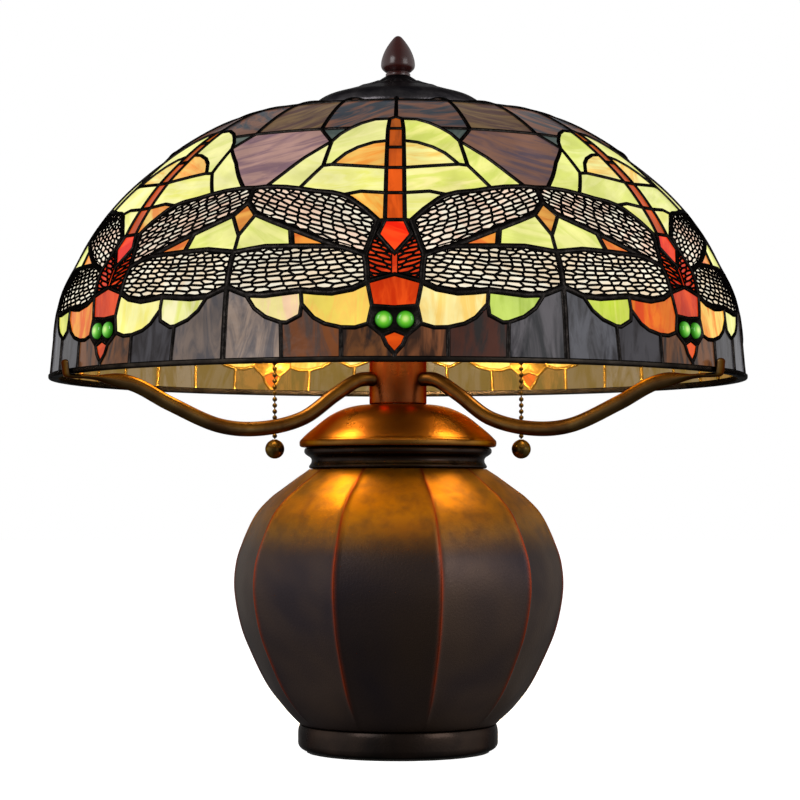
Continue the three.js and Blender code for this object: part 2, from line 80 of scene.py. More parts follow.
def volume(points, faces):
    """Six times the space inside: the sum over triangles of the first corner dotted with the others' cross."""
    total = 0
    for group in faces:
        for last in range(2, group.shape[1]):
            a, b, c = (points[group[:, i]] for i in (0, last - 1, last))
            total += np.einsum("ij,ij->", a, np.cross(b, c))
    return total


def piece(name, shape, finish, body, replaced=(), slot=None, sharp=40, **values):
    """Makes an object of a shape's points and faces, with its faces outwards, and puts it on a body. Each named
    value is an array with one number or three or four for every point."""
    points, faces, first = weld(*shape)
    if volume(points, faces) < 0:
        faces = [group[:, ::-1] for group in faces]
    corners = np.concatenate([group.ravel() for group in faces])
    sizes = np.concatenate([np.full(len(group), group.shape[1]) for group in faces])
    mesh = bpy.data.meshes.new(name)
    mesh.vertices.add(len(points))
    mesh.vertices.foreach_set("co", (points * 0.001).ravel())
    mesh.loops.add(len(corners))
    mesh.loops.foreach_set("vertex_index", corners)
    mesh.polygons.add(len(sizes))
    mesh.polygons.foreach_set("loop_start", np.cumsum(sizes) - sizes)
    mesh.polygons.foreach_set("use_smooth", np.ones(len(sizes), bool))
    mesh.update(calc_edges=True)
    mesh.set_sharp_from_angle(angle=math.radians(sharp))
    for label, value in values.items():
        value = np.asarray(value, float)[first]
        kind = {1: "FLOAT", 3: "FLOAT_VECTOR", 4: "FLOAT_COLOR"}[value[0].size]
        field = {1: "value", 3: "vector", 4: "color"}[value[0].size]
        mesh.attributes.new(label, kind, "POINT").data.foreach_set(field, value.ravel())
    made = bpy.data.objects.new(name, mesh)
    scene.collection.objects.link(made)
    mesh.materials.append(finish)
    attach(made, body)
    if replaced:
        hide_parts(*replaced)
    return made


def quads(rows, columns):
    """The corners of every square of a grid of points."""
    at = np.arange(rows * columns).reshape(rows, columns)
    return np.stack([at[:-1, :-1], at[:-1, 1:], at[1:, 1:], at[1:, :-1]], -1).reshape(-1, 4)


def together(*shapes):
    """Several shapes as one: each one's faces count on from the points before it."""
    points, faces, start = [], [], 0
    for some, groups in shapes:
        points.append(some)
        faces += [group + start for group in groups]
        start += len(some)
    return np.concatenate(points), faces


def moved(shape, by):
    """A shape with the same step added to all its points."""
    return shape[0] + by, shape[1]


def through(points, steps):
    """A curve through points: between two of them, the cubic whose slope at each is half the step from its one
    neighbour to the other, with the end points repeated."""
    points = np.asarray(points, float)
    padded = np.concatenate([points[:1], points, points[-1:]])
    t = np.linspace(0, len(points) - 1, steps)
    i = np.minimum(t.astype(int), len(points) - 2)
    f = (t - i)[:, None]
    a, b, c, d = (padded[i + k] for k in range(4))
    low, high = (c - a) / 2, (d - b) / 2
    return (2 * b - 2 * c + low + high) * f**3 + (3 * c - 3 * b - 2 * low - high) * f**2 + low * f + b


def rounded(corners, size, steps=4):
    """A closed outline whose corners are eased: near each corner, the parabola between points a size away."""
    corner = np.asarray(corners, float)
    size = np.broadcast_to(np.asarray(size, float), len(corner))[:, None]
    ends = []
    for shift in (1, -1):
        other = np.roll(corner, shift, axis=0)
        length = np.linalg.norm(other - corner, axis=1, keepdims=True)
        ends.append(corner + (other - corner) / length * np.minimum(size, length * 0.45))
    t = np.linspace(0, 1, steps)[:, None, None]
    curve = (1 - t) ** 2 * ends[0] + 2 * t * (1 - t) * corner + t**2 * ends[1]
    return curve.transpose(1, 0, 2).reshape(-1, 2)


def turned(profile, sides=96, lift=None):
    """A closed outline of radii and heights carried round the axis: x = r sin a, y = -r cos a, z = h, plus what
    lift(a, r, h) adds to the height."""
    profile = np.concatenate([profile, profile[:1]])
    a = np.linspace(0, 2 * math.pi, sides + 1)
    r, h = profile.T[:, :, None] + 0 * a
    if lift:
        h = h + lift(a, r, h)
    points = np.stack([r * np.sin(a), -r * np.cos(a), h], -1)
    return points.reshape(-1, 3), [quads(len(profile), sides + 1)]


def swept(path, side, width, height, sides=20):
    """An oval carried along a path in the plane square to side: a point is the path's, plus side times the half
    width's cosine, plus the path's upward normal times the half height's sine. Both ends close to a point."""
    along = np.gradient(path, axis=0)
    along /= np.linalg.norm(along, axis=1, keepdims=True)
    up = np.cross(along, side)
    path = np.concatenate([path[:1], path, path[-1:]])
    up = np.concatenate([up[:1], up, up[-1:]])[:, None]
    width, height = (np.concatenate([[0], size, [0]])[:, None, None] for size in (width, height))
    a = np.linspace(0, 2 * math.pi, sides + 1)[None, :, None]
    points = path[:, None] + side * width * np.cos(a) + up * height * np.sin(a)
    return points.reshape(-1, 3), [quads(len(path), sides + 1)]


def bored(path, side, outer, inner, sides=24):
    """A round tube with a wall: out along a path at the outer radii, back at the inner ones, and closed."""
    along = np.gradient(path, axis=0)
    along /= np.linalg.norm(along, axis=1, keepdims=True)
    up = np.cross(along, side)
    order = np.r_[0:len(path), len(path) - 1:-1:-1, 0]
    radius = np.concatenate([outer, inner[::-1], outer[:1]])[:, None, None]
    a = np.linspace(0, 2 * math.pi, sides + 1)[None, :, None]
    points = path[order][:, None] + radius * (side * np.cos(a) + up[order][:, None] * np.sin(a))
    return points.reshape(-1, 3), [quads(len(order), sides + 1)]


def span(node):
    """A node's greatest distance from the axis along X or Y, its lowest height and its highest."""
    low, high = (np.array(corner) * 1000 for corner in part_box(node))
    return max(-low[0], -low[1], high[0], high[1]), low[2], high[2]


def smoothstep(x, low, high):
    """0 below low, 1 above high, and 3t^2 - 2t^3 between them, where t is the share of the way."""
    t = np.clip((x - low) / (high - low), 0, 1)
    return t * t * (3 - 2 * t)


# ---- Finishes ----


def colour(text):
    """A hex sRGB colour as linear light."""
    share = np.array([int(text[i:i + 2], 16) / 255 for i in (1, 3, 5)])
    linear = np.where(share <= 0.04045, share / 12.92, ((share + 0.055) / 1.055) ** 2.4)
    return (*linear, 1.0)


def node(tree, kind, inputs=None, stops=None, **settings):
    """Adds a shader node of a kind with its settings; inputs gives each socket a value or another node's output,
    and stops are a ramp's positions and colours."""
    made = tree.nodes.new("ShaderNode" + kind)
    for name, value in settings.items():
        setattr(made, name, value)
    for socket, value in (inputs or {}).items():
        if isinstance(value, bpy.types.NodeSocket):
            tree.links.new(value, made.inputs[socket])
        else:
            made.inputs[socket].default_value = value
    if stops:
        ramp = made.color_ramp
        for i, (position, shade) in enumerate(stops):
            element = ramp.elements[i] if i < 2 else ramp.elements.new(position)
            element.position = position
            element.color = colour(shade) if isinstance(shade, str) else (shade, shade, shade, 1)
    return made


def finish(name):
    """A new material's tree, its output node and its object coordinates in metres."""
    material = bpy.data.materials.new(name)
    material.use_nodes = True
    tree = material.node_tree
    tree.nodes.clear()
    output = node(tree, "OutputMaterial")
    place = node(tree, "TexCoord").outputs["Object"]
    return material, tree, output, place


def metal(name, dark, light, patch, roughness, grain=0.4, wear_and_lamplight=(), metallic=1.0, spread=0.35, edge="#FFFFFF"):
    """Metal with a patina: two colours in patches of a size in millimetres, roughness that follows the patches, and a
    fine grain. The list of attributes after the grain gives each a colour that is painted where it is 1: on some
    pieces metal worn through, on others painted lamplight. edge is the tint of what it mirrors at a grazing angle,
    which a sooty patina swallows."""
    material, tree, output, place = finish(name)
    clouds = node(tree, "TexNoise", {
        "Vector": place, "Scale": 1000 / patch, "Detail": 3.0, "Roughness": 0.55, "Distortion": 0.4})
    tone = node(tree, "ValToRGB", {"Fac": clouds.outputs["Fac"]},
                stops=[(0.5 - spread / 2, dark), (0.5 + spread / 2, light)])
    shade = tone.outputs["Color"]
    # Each mark paints its colour where its attribute is 1, broken up by fine noise: worn-through metal for some
    # attributes, painted lamplight for others.
    for label, mark_colour in wear_and_lamplight:
        mark_mask = node(tree, "Attribute", attribute_name=label)
        mark_breakup = node(tree, "TexNoise", {"Vector": place, "Scale": 1000 / 9.0, "Detail": 4.0})
        share = node(tree, "MapRange", {
            "Value": mark_breakup.outputs["Fac"], "From Min": 0.3, "From Max": 0.6, "To Min": 0.55, "To Max": 1.0})
        amount = node(tree, "Math", {0: mark_mask.outputs["Fac"], 1: share.outputs["Result"]}, operation="MULTIPLY")
        shade = node(tree, "Mix", {0: amount.outputs[0], 6: shade, 7: colour(mark_colour)},
                     data_type="RGBA").outputs[2]
    gloss = node(tree, "MapRange", {
        "Value": clouds.outputs["Fac"], "From Min": 0.3, "From Max": 0.7,
        "To Min": roughness * 1.25, "To Max": roughness * 0.8})
    fine = node(tree, "TexNoise", {"Vector": place, "Scale": 1000 / 1.6, "Detail": 2.0})
    bump = node(tree, "Bump", {"Height": fine.outputs["Fac"], "Strength": grain, "Distance": 0.0003})
    shader = node(tree, "BsdfPrincipled", {
        "Base Color": shade, "Metallic": metallic, "Roughness": gloss.outputs["Result"],
        "Specular Tint": colour(edge), "Normal": bump.outputs["Normal"]})
    tree.links.new(shader.outputs[0], output.inputs["Surface"])
    return material


def plain(name, shade, roughness, grain_size=1.0, grain=0.2, glow=0.0):
    """A non-metal: one colour that drifts a little in tone over 12 mm, and a grain of a size in millimetres."""
    material, tree, output, place = finish(name)
    drift = node(tree, "TexNoise", {"Vector": place, "Scale": 1000 / 12.0, "Detail": 3.0})
    tone = node(tree, "HueSaturation", {"Color": colour(shade)})
    level = node(tree, "MapRange", {"Value": drift.outputs["Fac"], "To Min": 0.8, "To Max": 1.2})
    tree.links.new(level.outputs["Result"], tone.inputs["Value"])
    fine = node(tree, "TexNoise", {"Vector": place, "Scale": 1000 / grain_size, "Detail": 2.0})
    bump = node(tree, "Bump", {"Height": fine.outputs["Fac"], "Strength": grain, "Distance": 0.0004})
    shader = node(tree, "BsdfPrincipled", {
        "Base Color": tone.outputs["Color"], "Roughness": roughness, "Normal": bump.outputs["Normal"]})
    if glow:
        tree.links.new(tone.outputs["Color"], shader.inputs["Emission Color"])
        shader.inputs["Emission Strength"].default_value = glow
    tree.links.new(shader.outputs[0], output.inputs["Surface"])
    return material


# Cast metal, dark oil-rubbed bronze: near-black brown clouds some 95 mm across, satin, red-brown on the ribs.
# The old gold on the shoulders is painted lamplight, the glow of the bulbs above falling through the shade's mouth.
vase_bronze = metal("cast_oil_rubbed_bronze", "#332C2F", "#4C3D34", 95, 0.38, 0.35,
                    [("shoulder", "#B87E18"), ("rib", "#8A3418")], metallic=0.9, spread=0.3, edge="#C4C0BC")
# The same bronze turned and waxed: darker and glossier, with hardly any cloud.
foot_bronze = metal("turned_waxed_bronze", "#221D1B", "#352A24", 30, 0.26, 0.25, metallic=0.9, edge="#A0A0A0")
# Spun bronze, rubbed back to copper-brown: it takes the lamp's warm light.
warm_bronze = metal("spun_rubbed_bronze", "#6A4420", "#96682E", 40, 0.3, 0.3, edge="#C09060")
# Drawn bronze tube, rubbed back further: redder, like copper.
copper_bronze = metal("drawn_copper_bronze", "#6A3418", "#8E4C26", 40, 0.3, 0.3, edge="#C08060")
# Bent bronze tube, oil-rubbed: brown with darker clouds along it.
arm_bronze = metal("bent_tube_bronze", "#4A3420", "#745A34", 26, 0.32, 0.3, edge="#A08868")
# Spun and blackened bronze: almost black with a grey sheen.
black_bronze = metal("spun_blackened_bronze", "#38363A", "#5C585A", 12, 0.32, 0.5, edge="#A0A0A0")
# Solder over copper foil, black patina: lumpy, nearly black, grey on the crests.
# Inside the shade the solder is left bright, and its gold there is painted lamplight from the bulbs.
leading_metal = metal("patinated_solder", "#171514", "#2C2826", 5, 0.4, 0.9, [("inside", "#D0A850")],
                      edge="#606060")
# The rim's came: drawn lead channel with a pewter-brown patina.
came_metal = metal("drawn_came", "#1E1B1A", "#3A342E", 14, 0.4, 0.6, edge="#707070")
# Etched sheet brass, blackened: flat black lace over the wings.
filigree_metal = metal("etched_blackened_brass", "#0B0A0A", "#171413", 6, 0.55, 0.3, edge="#303030")
# Stamped and drawn brass, aged: yellow-brown.
brass = metal("aged_brass", "#3C3018", "#70592E", 7, 0.3, 0.3, edge="#C0A070")
# Zinc-plated steel: light grey, with a faint spangle.
zinc_steel = metal("zinc_plated_steel", "#8C8C88", "#B4B4AE", 8, 0.35, 0.3)
# Red-brown lacquer over metal: a deep glossy mahogany.
lacquer = plain("red_brown_lacquer", "#3A1410", 0.22, 2.0, 0.05)
# Glazed porcelain: glossy cream.
porcelain = plain("glazed_porcelain", "#E6E0D2", 0.18, 3.0, 0.05)
# Moulded rubber: matt black.
rubber = plain("moulded_rubber", "#161616", 0.7, 0.8, 0.3)
# Pressed wool felt: charcoal, with a deep nap.
felt = plain("pressed_wool_felt", "#2B2926", 0.95, 0.9, 0.9)
# Frosted bulb glass, lit from inside: warm white.
frosted = plain("frosted_bulb_glass", "#FFDFA4", 0.5, 1.5, 0.1, glow=0.9)


def pressed_glass(name):
    """Pressed green cabochon glass with light behind it, painted as a glow: dark at the rim and pale in the middle, a
    painted highlight where the glass would gather the light. The attribute middle is 1 there and 0 at the rim."""
    material, tree, output, _ = finish(name)
    middle = node(tree, "Attribute", attribute_name="middle").outputs["Fac"]
    # Painted highlight: the glow goes from dark green at the rim to pale yellow-green in the middle.
    depth = node(tree, "ValToRGB", {"Fac": middle},
                 stops=[(0.0, "#145206"), (0.85, "#D4F48C"), (0.2, "#3A9410"), (0.5, "#70C82C")])
    shader = node(tree, "BsdfPrincipled", {
        "Base Color": colour("#1E5A08"), "Roughness": 0.05, "Emission Color": depth.outputs["Color"],
        "Emission Strength": 0.85})
    tree.links.new(shader.outputs[0], output.inputs["Surface"])
    return material


def art_glass(name):
    """Rolled opalescent sheet glass with light behind it, painted as a glow in the glass's own colours. Each pane has
    a tint and a streak colour. Streaks run along the pane's flow: noise 10 mm across and 42 mm along picks between the
    two, finer noise curdles it, and clouds of 26 mm dim it, which is how the sheet's milk and colour lie. The face is
    rolled, slightly rippled. On the inside, painted lamplight: the bulbs' gold is added to the glow."""
    material, tree, output, place = finish(name)
    tint = node(tree, "Attribute", attribute_name="tint").outputs["Color"]
    streak = node(tree, "Attribute", attribute_name="streak").outputs["Color"]
    flow = node(tree, "Attribute", attribute_name="flow").outputs["Vector"]
    long = node(tree, "VectorMath", {0: flow, 1: (1 / 42, 1 / 10, 1.0)}, operation="MULTIPLY")
    bands = node(tree, "TexNoise", {
        "Vector": long.outputs[0], "Scale": 1.0, "Detail": 4.0, "Roughness": 0.6, "Distortion": 0.9})
    pick = node(tree, "MapRange", {"Value": bands.outputs["Fac"], "From Min": 0.42, "From Max": 0.6})
    mixed = node(tree, "Mix", {0: pick.outputs["Result"], 6: tint, 7: streak}, data_type="RGBA")
    milk = node(tree, "TexNoise", {"Vector": flow, "Scale": 1 / 26.0, "Detail": 3.0})
    level = node(tree, "MapRange", {
        "Value": milk.outputs["Fac"], "From Min": 0.3, "From Max": 0.7, "To Min": 0.8, "To Max": 1.12})
    lit = node(tree, "VectorMath", {0: mixed.outputs[2], "Scale": level.outputs["Result"]}, operation="SCALE")
    # Painted lamplight: where the attribute inside is 1, the bulbs' gold is added to the glow.
    side = node(tree, "Attribute", attribute_name="inside")
    lamplit_gold = node(tree, "VectorMath", {0: lit.outputs[0], 1: colour("#7A601E")[:3]}, operation="ADD")
    glow = node(tree, "Mix", {0: side.outputs["Fac"], 6: lit.outputs[0], 7: lamplit_gold.outputs[0]}, data_type="RGBA")
    base = node(tree, "VectorMath", {0: lit.outputs[0], "Scale": 0.08}, operation="SCALE")
    ripple = node(tree, "TexNoise", {"Vector": place, "Scale": 1000 / 7.0, "Detail": 2.0})
    bump = node(tree, "Bump", {"Height": ripple.outputs["Fac"], "Strength": 0.35, "Distance": 0.0006})
    shader = node(tree, "BsdfPrincipled", {
        "Base Color": base.outputs[0], "Roughness": 0.2, "Specular IOR Level": 0.15,
        "Normal": bump.outputs["Normal"], "Emission Color": glow.outputs[2], "Emission Strength": 1.04})
    tree.links.new(shader.outputs[0], output.inputs["Surface"])
    return material


jewel = pressed_glass("pressed_green_glass")
sheet_glass = art_glass("rolled_opalescent_glass")

# ---- Base ----

foot_radius, foot_low, foot_high = span("foot")
piece("turned_foot", turned(rounded([
    (8, foot_low), (foot_radius - 3, foot_low), (foot_radius, foot_low + 3), (foot_radius, foot_high - 3.5),
    (foot_radius - 1.2, foot_high), (8, foot_high)], [0.5, 2, 2, 2.5, 1, 0.5])),
    foot_bronze, "base", ["foot"], "bronze")

# The share of the widest radius that the vase has at each share of its height.
VASE_OUTLINE = [
    (0.6, 0), (0.7, 0.065), (0.8, 0.15), (0.89, 0.265), (0.96, 0.38), (1, 0.52), (0.99, 0.63), (0.945, 0.72),
    (0.87, 0.82), (0.78, 0.885), (0.7, 0.925), (0.5413, 1)]
RIB_RADIUS = 109
PANELS = 10
RIB_TURN = math.radians(14.4)
VASE_WALL = 5


def ribbed_vase():
    """The vase: an outline carried round, drawn in between ten ribs. A radius is the outline's, times one plus
    0.8 of the way to the chord between two ribs, times a fade to round at both ends, plus a ridge 0.7 mm proud
    and 3 mm wide along each rib. The inside is the outline a wall's thickness in."""
    _, low, high = span("vase_body")
    keys = np.array(VASE_OUTLINE) * (RIB_RADIUS, high - low) + (0, low)
    outer = through(keys, 110)
    along = np.gradient(outer, axis=0)
    along /= np.linalg.norm(along, axis=1, keepdims=True)
    inner = outer + np.stack([-along[:, 1], along[:, 0]], -1) * VASE_WALL
    inner[:, 1] = np.clip(inner[:, 1], low + VASE_WALL, high)
    inner[-1] = (outer[-1, 0] - VASE_WALL, high)
    inner[0] = (outer[0, 0] - 4, low)
    loop = np.concatenate([outer, inner[::-4], inner[:1], outer[:1]])
    half = math.pi / PANELS
    t = np.linspace(-1, 1, 27)[:-1]
    panel = np.sign(t) * (1 - (1 - np.abs(t)) ** 2.2) * half
    a = (np.arange(PANELS)[:, None] * 2 * half + panel + half).ravel() + RIB_TURN
    a = np.append(a, a[0] + 2 * math.pi)
    from_middle = np.mod(a - RIB_TURN, 2 * half) - half
    r, h = loop.T[:, :, None] + 0 * a
    up = (h - low) / (high - low)
    fade = smoothstep(up, 0, 0.2) * (1 - smoothstep(up, 0.85, 1))
    r = r * (1 + (math.cos(half) / np.cos(from_middle) - 1) * 0.8 * fade)
    away = (half - np.abs(from_middle)) * r
    outside = (np.arange(len(loop)) < len(outer))[:, None]
    rib = np.exp(-(away / 1.5) ** 2) * smoothstep(up, 0.0, 0.06) * (1 - smoothstep(up, 0.97, 1)) * outside
    r = r + 0.7 * rib
    points = np.stack([r * np.sin(a), -r * np.cos(a), h], -1).reshape(-1, 3)
    line = np.exp(-(away / 1.1) ** 2) * outside * smoothstep(up, 0.04, 0.2)
    # Painted lamplight: where the gold is painted on the shoulders, somewhat stronger in three places round.
    shoulder = smoothstep(up, 0.66, 0.86) * outside * (0.82 + 0.18 * np.cos(3 * a + 0.6))
    return (points, [quads(len(loop), len(a))]), line.ravel(), shoulder.ravel()


vase_shape, rib_lines, shoulders = ribbed_vase()
piece("ribbed_vase", vase_shape, vase_bronze, "base", ["vase_body"], "vase_bronze", 50,
      rib=rib_lines, shoulder=shoulders)

collar_radius, low, high = span("neck_collar")
piece("neck_collar_ring", turned(rounded([
    (50, low), (collar_radius - 4, low), (collar_radius - 3, low + 1.5), (collar_radius - 5, low + 4),
    (collar_radius - 5, low + 7), (collar_radius - 1, low + 9.5), (collar_radius, low + 11),
    (collar_radius - 0.4, high - 0.6), (collar_radius - 2, high), (50, high)], 1.6)),
    foot_bronze, "base", ["neck_collar"], "bronze")

cap_radius, low, high = span("vase_cap")
rise = high - low
cap_outside = through([
    (cap_radius - 1.5, low + 5.5), (cap_radius * 0.93, low + 8.6), (cap_radius * 0.85, low + 13),
    (cap_radius * 0.7, low + 20.6), (cap_radius * 0.55, low + 25.4), (cap_radius * 0.42, low + 27.6),
    (cap_radius * 0.33, high - 0.1)], 28)
piece("domed_vase_cap", turned(np.concatenate([
    rounded([(50, low), (cap_radius - 1, low), (cap_radius, low + 1.2), (cap_radius, low + 4),
             (cap_radius - 1.5, low + 5.5)], [0.5, 1, 1, 1, 0.4]),
    cap_outside, [(20, high), (5.4, high), (5.4, high - 2), (18, high - 2.4), (cap_radius * 0.68, high - 10),
                  (50, low + 5)]])),
    warm_bronze, "base", ["vase_cap"], "bronze")

column_radius, low, high = span("column")
piece("column_tube", turned(rounded([
    (column_radius - 3, low), (column_radius, low), (column_radius, high - 1), (column_radius - 3, high - 1)],
    0.8)), copper_bronze, "base", ["column"], "bronze")

# The share of its drop that an arm has reached at each share of its length outwards.
ARM_BENDS = [
    (0, 0), (0.07, 0.02), (0.155, 0.32), (0.27, 0.79), (0.415, 1), (0.56, 0.95), (0.72, 0.56), (0.85, 0.19)]
ARM_START, ARM_END, ARM_DROP = 15, 220.4, 33.5
ARM_AXIS = span("column")[1] + 16
TUBE_RADIUS = 4.75
TONGUE_HALF_WIDTH, TONGUE_HALF_THICKNESS = 5.5, 1.4


def shade_arm(angle):
    """A tube that dips, climbs and flattens to a tongue under the rim: its path is the bends' curve, then a
    quarter turn up outside the rim, and its oval goes from round to broad and thin near the end."""
    came_outer, rim, _ = span("rim_came")
    bends = np.array(ARM_BENDS) * (ARM_END - ARM_START, -ARM_DROP) + (ARM_START, ARM_AXIS)
    bent = np.concatenate([bends, [(ARM_END, rim - 1.8)]])
    curve = through(bent, 90)
    hook = through([(ARM_END, rim - 1.8), (came_outer - 1.5, rim - 1.8), (came_outer + 1.4, rim - 1.2),
                    (came_outer + 2.3, rim + 1.5), (came_outer + 2.7, rim + 5), (came_outer + 3, rim + 8.4)], 30)
    route = np.concatenate([curve, hook[1:]])
    out = np.array([math.sin(angle), -math.cos(angle), 0])
    path = out * route[:, :1] + np.array([0, 0, 1]) * route[:, 1:]
    flat = smoothstep(route[:, 0], ARM_END - 26, ARM_END - 4)
    tip = np.sqrt(np.clip((np.arange(len(path))[::-1] + 0.4) / 3, 0, 1))
    width = (TUBE_RADIUS * (1 - flat) + TONGUE_HALF_WIDTH * flat) * tip
    height = (TUBE_RADIUS * (1 - flat) + TONGUE_HALF_THICKNESS * flat) * tip
    return swept(path, np.cross(out, (0, 0, 1.0)), width, height)


for name, degrees in (("left", -62), ("right", 58), ("back", 178)):
    piece(f"bent_arm_{name}", shade_arm(math.radians(degrees)), arm_bronze, "base", [f"shade_arm_{name}"],
          "bronze")

# ---- Light cluster, lampholders, bulbs and pull chains ----

TILT = math.radians(40)
_, cluster_low, cluster_high = span("cluster_body")
cluster_axis = cluster_low + 16


def tilted(shape, side):
    """A shape made about the vertical axis, laid over sideways to a lampholder's slope."""
    points, faces = shape
    lean = side * (math.pi / 2 - TILT)
    x, y, z = points.T
    return np.stack([x * math.cos(lean) + z * math.sin(lean), y,
                     cluster_axis - x * math.sin(lean) + z * math.cos(lean)], -1), faces


piece("cluster_hub", turned(rounded([
    (5.4, cluster_low), (19, cluster_low), (19, cluster_low + 4), (21, cluster_low + 10), (21, cluster_low + 21),
    (15, cluster_low + 28), (9.5, cluster_high), (5.4, cluster_high)], 2), 48),
    brass, "base", ["cluster_body"], "brass")
for name, side in (("left", -1), ("right", 1)):
    piece(f"holder_cap_{name}", tilted(turned(rounded([
        (5.3, 32), (8.5, 32), (8.5, 35), (14, 38.6), (16.4, 43), (16.5, 44), (5.3, 44)], 1), 40), side),
        brass, "base", [f"socket_cap_{name}"], "brass")
    piece(f"holder_shell_{name}", tilted(turned(rounded([
        (15.6, 44.3), (16.5, 44.3), (16.5, 50), (17, 51), (16.5, 52), (16.5, 82), (17.4, 84.3), (17.4, 86.3),
        (15.6, 86.3)], 0.4), 40), side), brass, "base", [f"socket_shell_{name}"], "brass")
    thread = 13 + 0.45 * np.sin(np.linspace(0, 12 * math.pi, 73))
    heights = np.linspace(63, 84.6, 73)
    piece(f"bulb_thread_{name}", tilted(turned(np.concatenate([
        [(0, 61.4), (6, 61.4), (9, 62.4)], np.stack([thread, heights], -1), [(12.2, 85.2), (0, 85.2)]]), 32), side),
        zinc_steel, f"bulb_{name}", [f"bulb_screw_{name}"], "steel")
    bulb = through([(13, 85.7), (13.6, 92), (16.4, 100), (20.4, 108), (23, 117), (23.4, 126), (21.4, 136),
                    (16.4, 144), (8.6, 148.6), (0, 149.5)], 40)
    piece(f"bulb_envelope_{name}", tilted(turned(np.concatenate([bulb, [(0, 148.2)], bulb[::-3][1:] * (0.94, 1)
                                                                 - (0, 0.6)]), 40), side),
          frosted, f"bulb_{name}", [f"bulb_glass_{name}"], "bulb_glass")

_, ball_low, ball_high = span("pull_ball_left")
_, chain_low, chain_high = span("pull_chain_left")
_, link_low, link_high = span("pull_link_left")
CHAIN_X = 82
BEADS = 18
BEAD_RADIUS, WIRE_RADIUS, KNOB_RADIUS = 1.6, 0.45, 6.4
for name, side in (("left", -1), ("right", 1)):
    aside = (side * CHAIN_X, 0, 0)
    axis = np.array([side * math.cos(TILT), 0, math.sin(TILT)])
    out = np.array([side * math.sin(TILT), 0, -math.cos(TILT)])
    start = np.array([0, 0, cluster_axis]) + axis * 70 + out * 16.8
    mouth = np.array([side * CHAIN_X, 0, link_low])
    bend = mouth + (0, 0, 15)
    t = np.linspace(0, 1, 20)[:, None]
    curve = ((1 - t) ** 3 * start + 3 * t * (1 - t) ** 2 * (start + out * 8)
             + 3 * t**2 * (1 - t) * (bend + (0, 0, 8)) + t**3 * bend)
    route = np.concatenate([curve, mouth + (bend - mouth) * np.linspace(0.8, 0, 6)[:, None]])
    flare = smoothstep(np.arange(len(route)), len(route) - 5, len(route) - 1) * 0.5
    piece(f"guide_bell_{name}", bored(route, np.array([0, 1.0, 0]), 3.5 + flare, 2.5 + flare),
          brass, "base", [f"chain_guide_{name}"], "brass")
    piece(f"pull_wire_{name}", moved(turned(np.array([
        (0, link_low), (0.9, link_low), (1.3, link_low + 0.6), (1.3, link_high - 0.6), (0.9, link_high),
        (0, link_high)]), 16), aside), brass, f"pull_{name}", [f"pull_link_{name}"], "brass")
    pitch = (chain_high - chain_low) / BEADS
    rise = np.linspace(0, math.pi, 9)
    bead = BEAD_RADIUS * np.stack([np.sin(rise), -np.cos(rise)], -1)
    wire = turned(np.array([(0, chain_low), (WIRE_RADIUS, chain_low), (WIRE_RADIUS, chain_high), (0, chain_high)]),
                  12)
    middles = chain_high - (np.arange(BEADS) + 0.5) * pitch
    beads = [turned(bead + (0, z), 12) for z in middles]
    piece(f"bead_chain_{name}", moved(together(*beads, wire), aside), brass, f"chain_{name}",
          [f"pull_chain_{name}"], "brass")
    centre = (ball_low + ball_high) / 2
    around = np.linspace(0, math.pi, 21)
    knob = np.stack([KNOB_RADIUS * np.sin(around), centre - KNOB_RADIUS * np.cos(around)], -1)
    knob = np.concatenate([knob[:-2], [(1.9, ball_high - 0.3), (1.7, ball_high), (0, ball_high)]])
    piece(f"knob_{name}", moved(turned(knob, 32), aside), brass, f"chain_{name}",
          [f"pull_ball_{name}"], "brass")

# ---- Shade ----

# The dome's outline as shares of its radius and height.
DOME = [(1, 0), (0.976, 0.258), (0.926, 0.405), (0.866, 0.541), (0.772, 0.688), (0.62, 0.852), (0.437, 0.965)]
SECTORS = 7
HALF = math.pi / SECTORS
SHADE_TURN = math.radians(-0.5)
SHADE_RADIUS, OPENING_RADIUS = 228.6, 42
GLASS = 3
# Half the width of the solder along a wing, and of the other seams.
WIDE_SEAM, SEAM = 1.9, 1.3
# How far a pane reaches under the solder's edge.
LAP = 0.35
# The longest side of an outline before another point is put in.
SPACING = 6.5
dome_low = span("shade_section_1")[1]
dome_high = max(span(f"shade_section_{i}")[2] for i in range(1, SECTORS + 1))
dome_curve = through(np.array([*DOME, (OPENING_RADIUS / SHADE_RADIUS, 1)])
                     * (SHADE_RADIUS, dome_high - dome_low) + (0, dome_low), 400)
dome_slope = np.gradient(dome_curve, axis=0)
dome_slope /= np.linalg.norm(dome_slope, axis=1, keepdims=True)
ARC = np.concatenate([[0], np.cumsum(np.linalg.norm(np.diff(dome_curve, axis=0), axis=1))])


def radius_at(s):
    """The glass's distance from the lamp's axis, a distance s up the glass."""
    return np.interp(s, ARC, dome_curve[:, 0])


def facing(s):
    """How far outwards and upwards the glass's face looks, a distance s up the glass."""
    return np.interp(s, ARC, dome_slope[:, 1]), -np.interp(s, ARC, dome_slope[:, 0])


def on_dome(turn, s, rise=0):
    """The point a distance s up the glass from its lower edge and rise mm off its face, at an angle turn."""
    out, up = facing(s)
    r = radius_at(s) + rise * out
    return np.stack([r * np.sin(turn), -r * np.cos(turn), np.interp(s, ARC, dome_curve[:, 1]) + rise * up], -1)


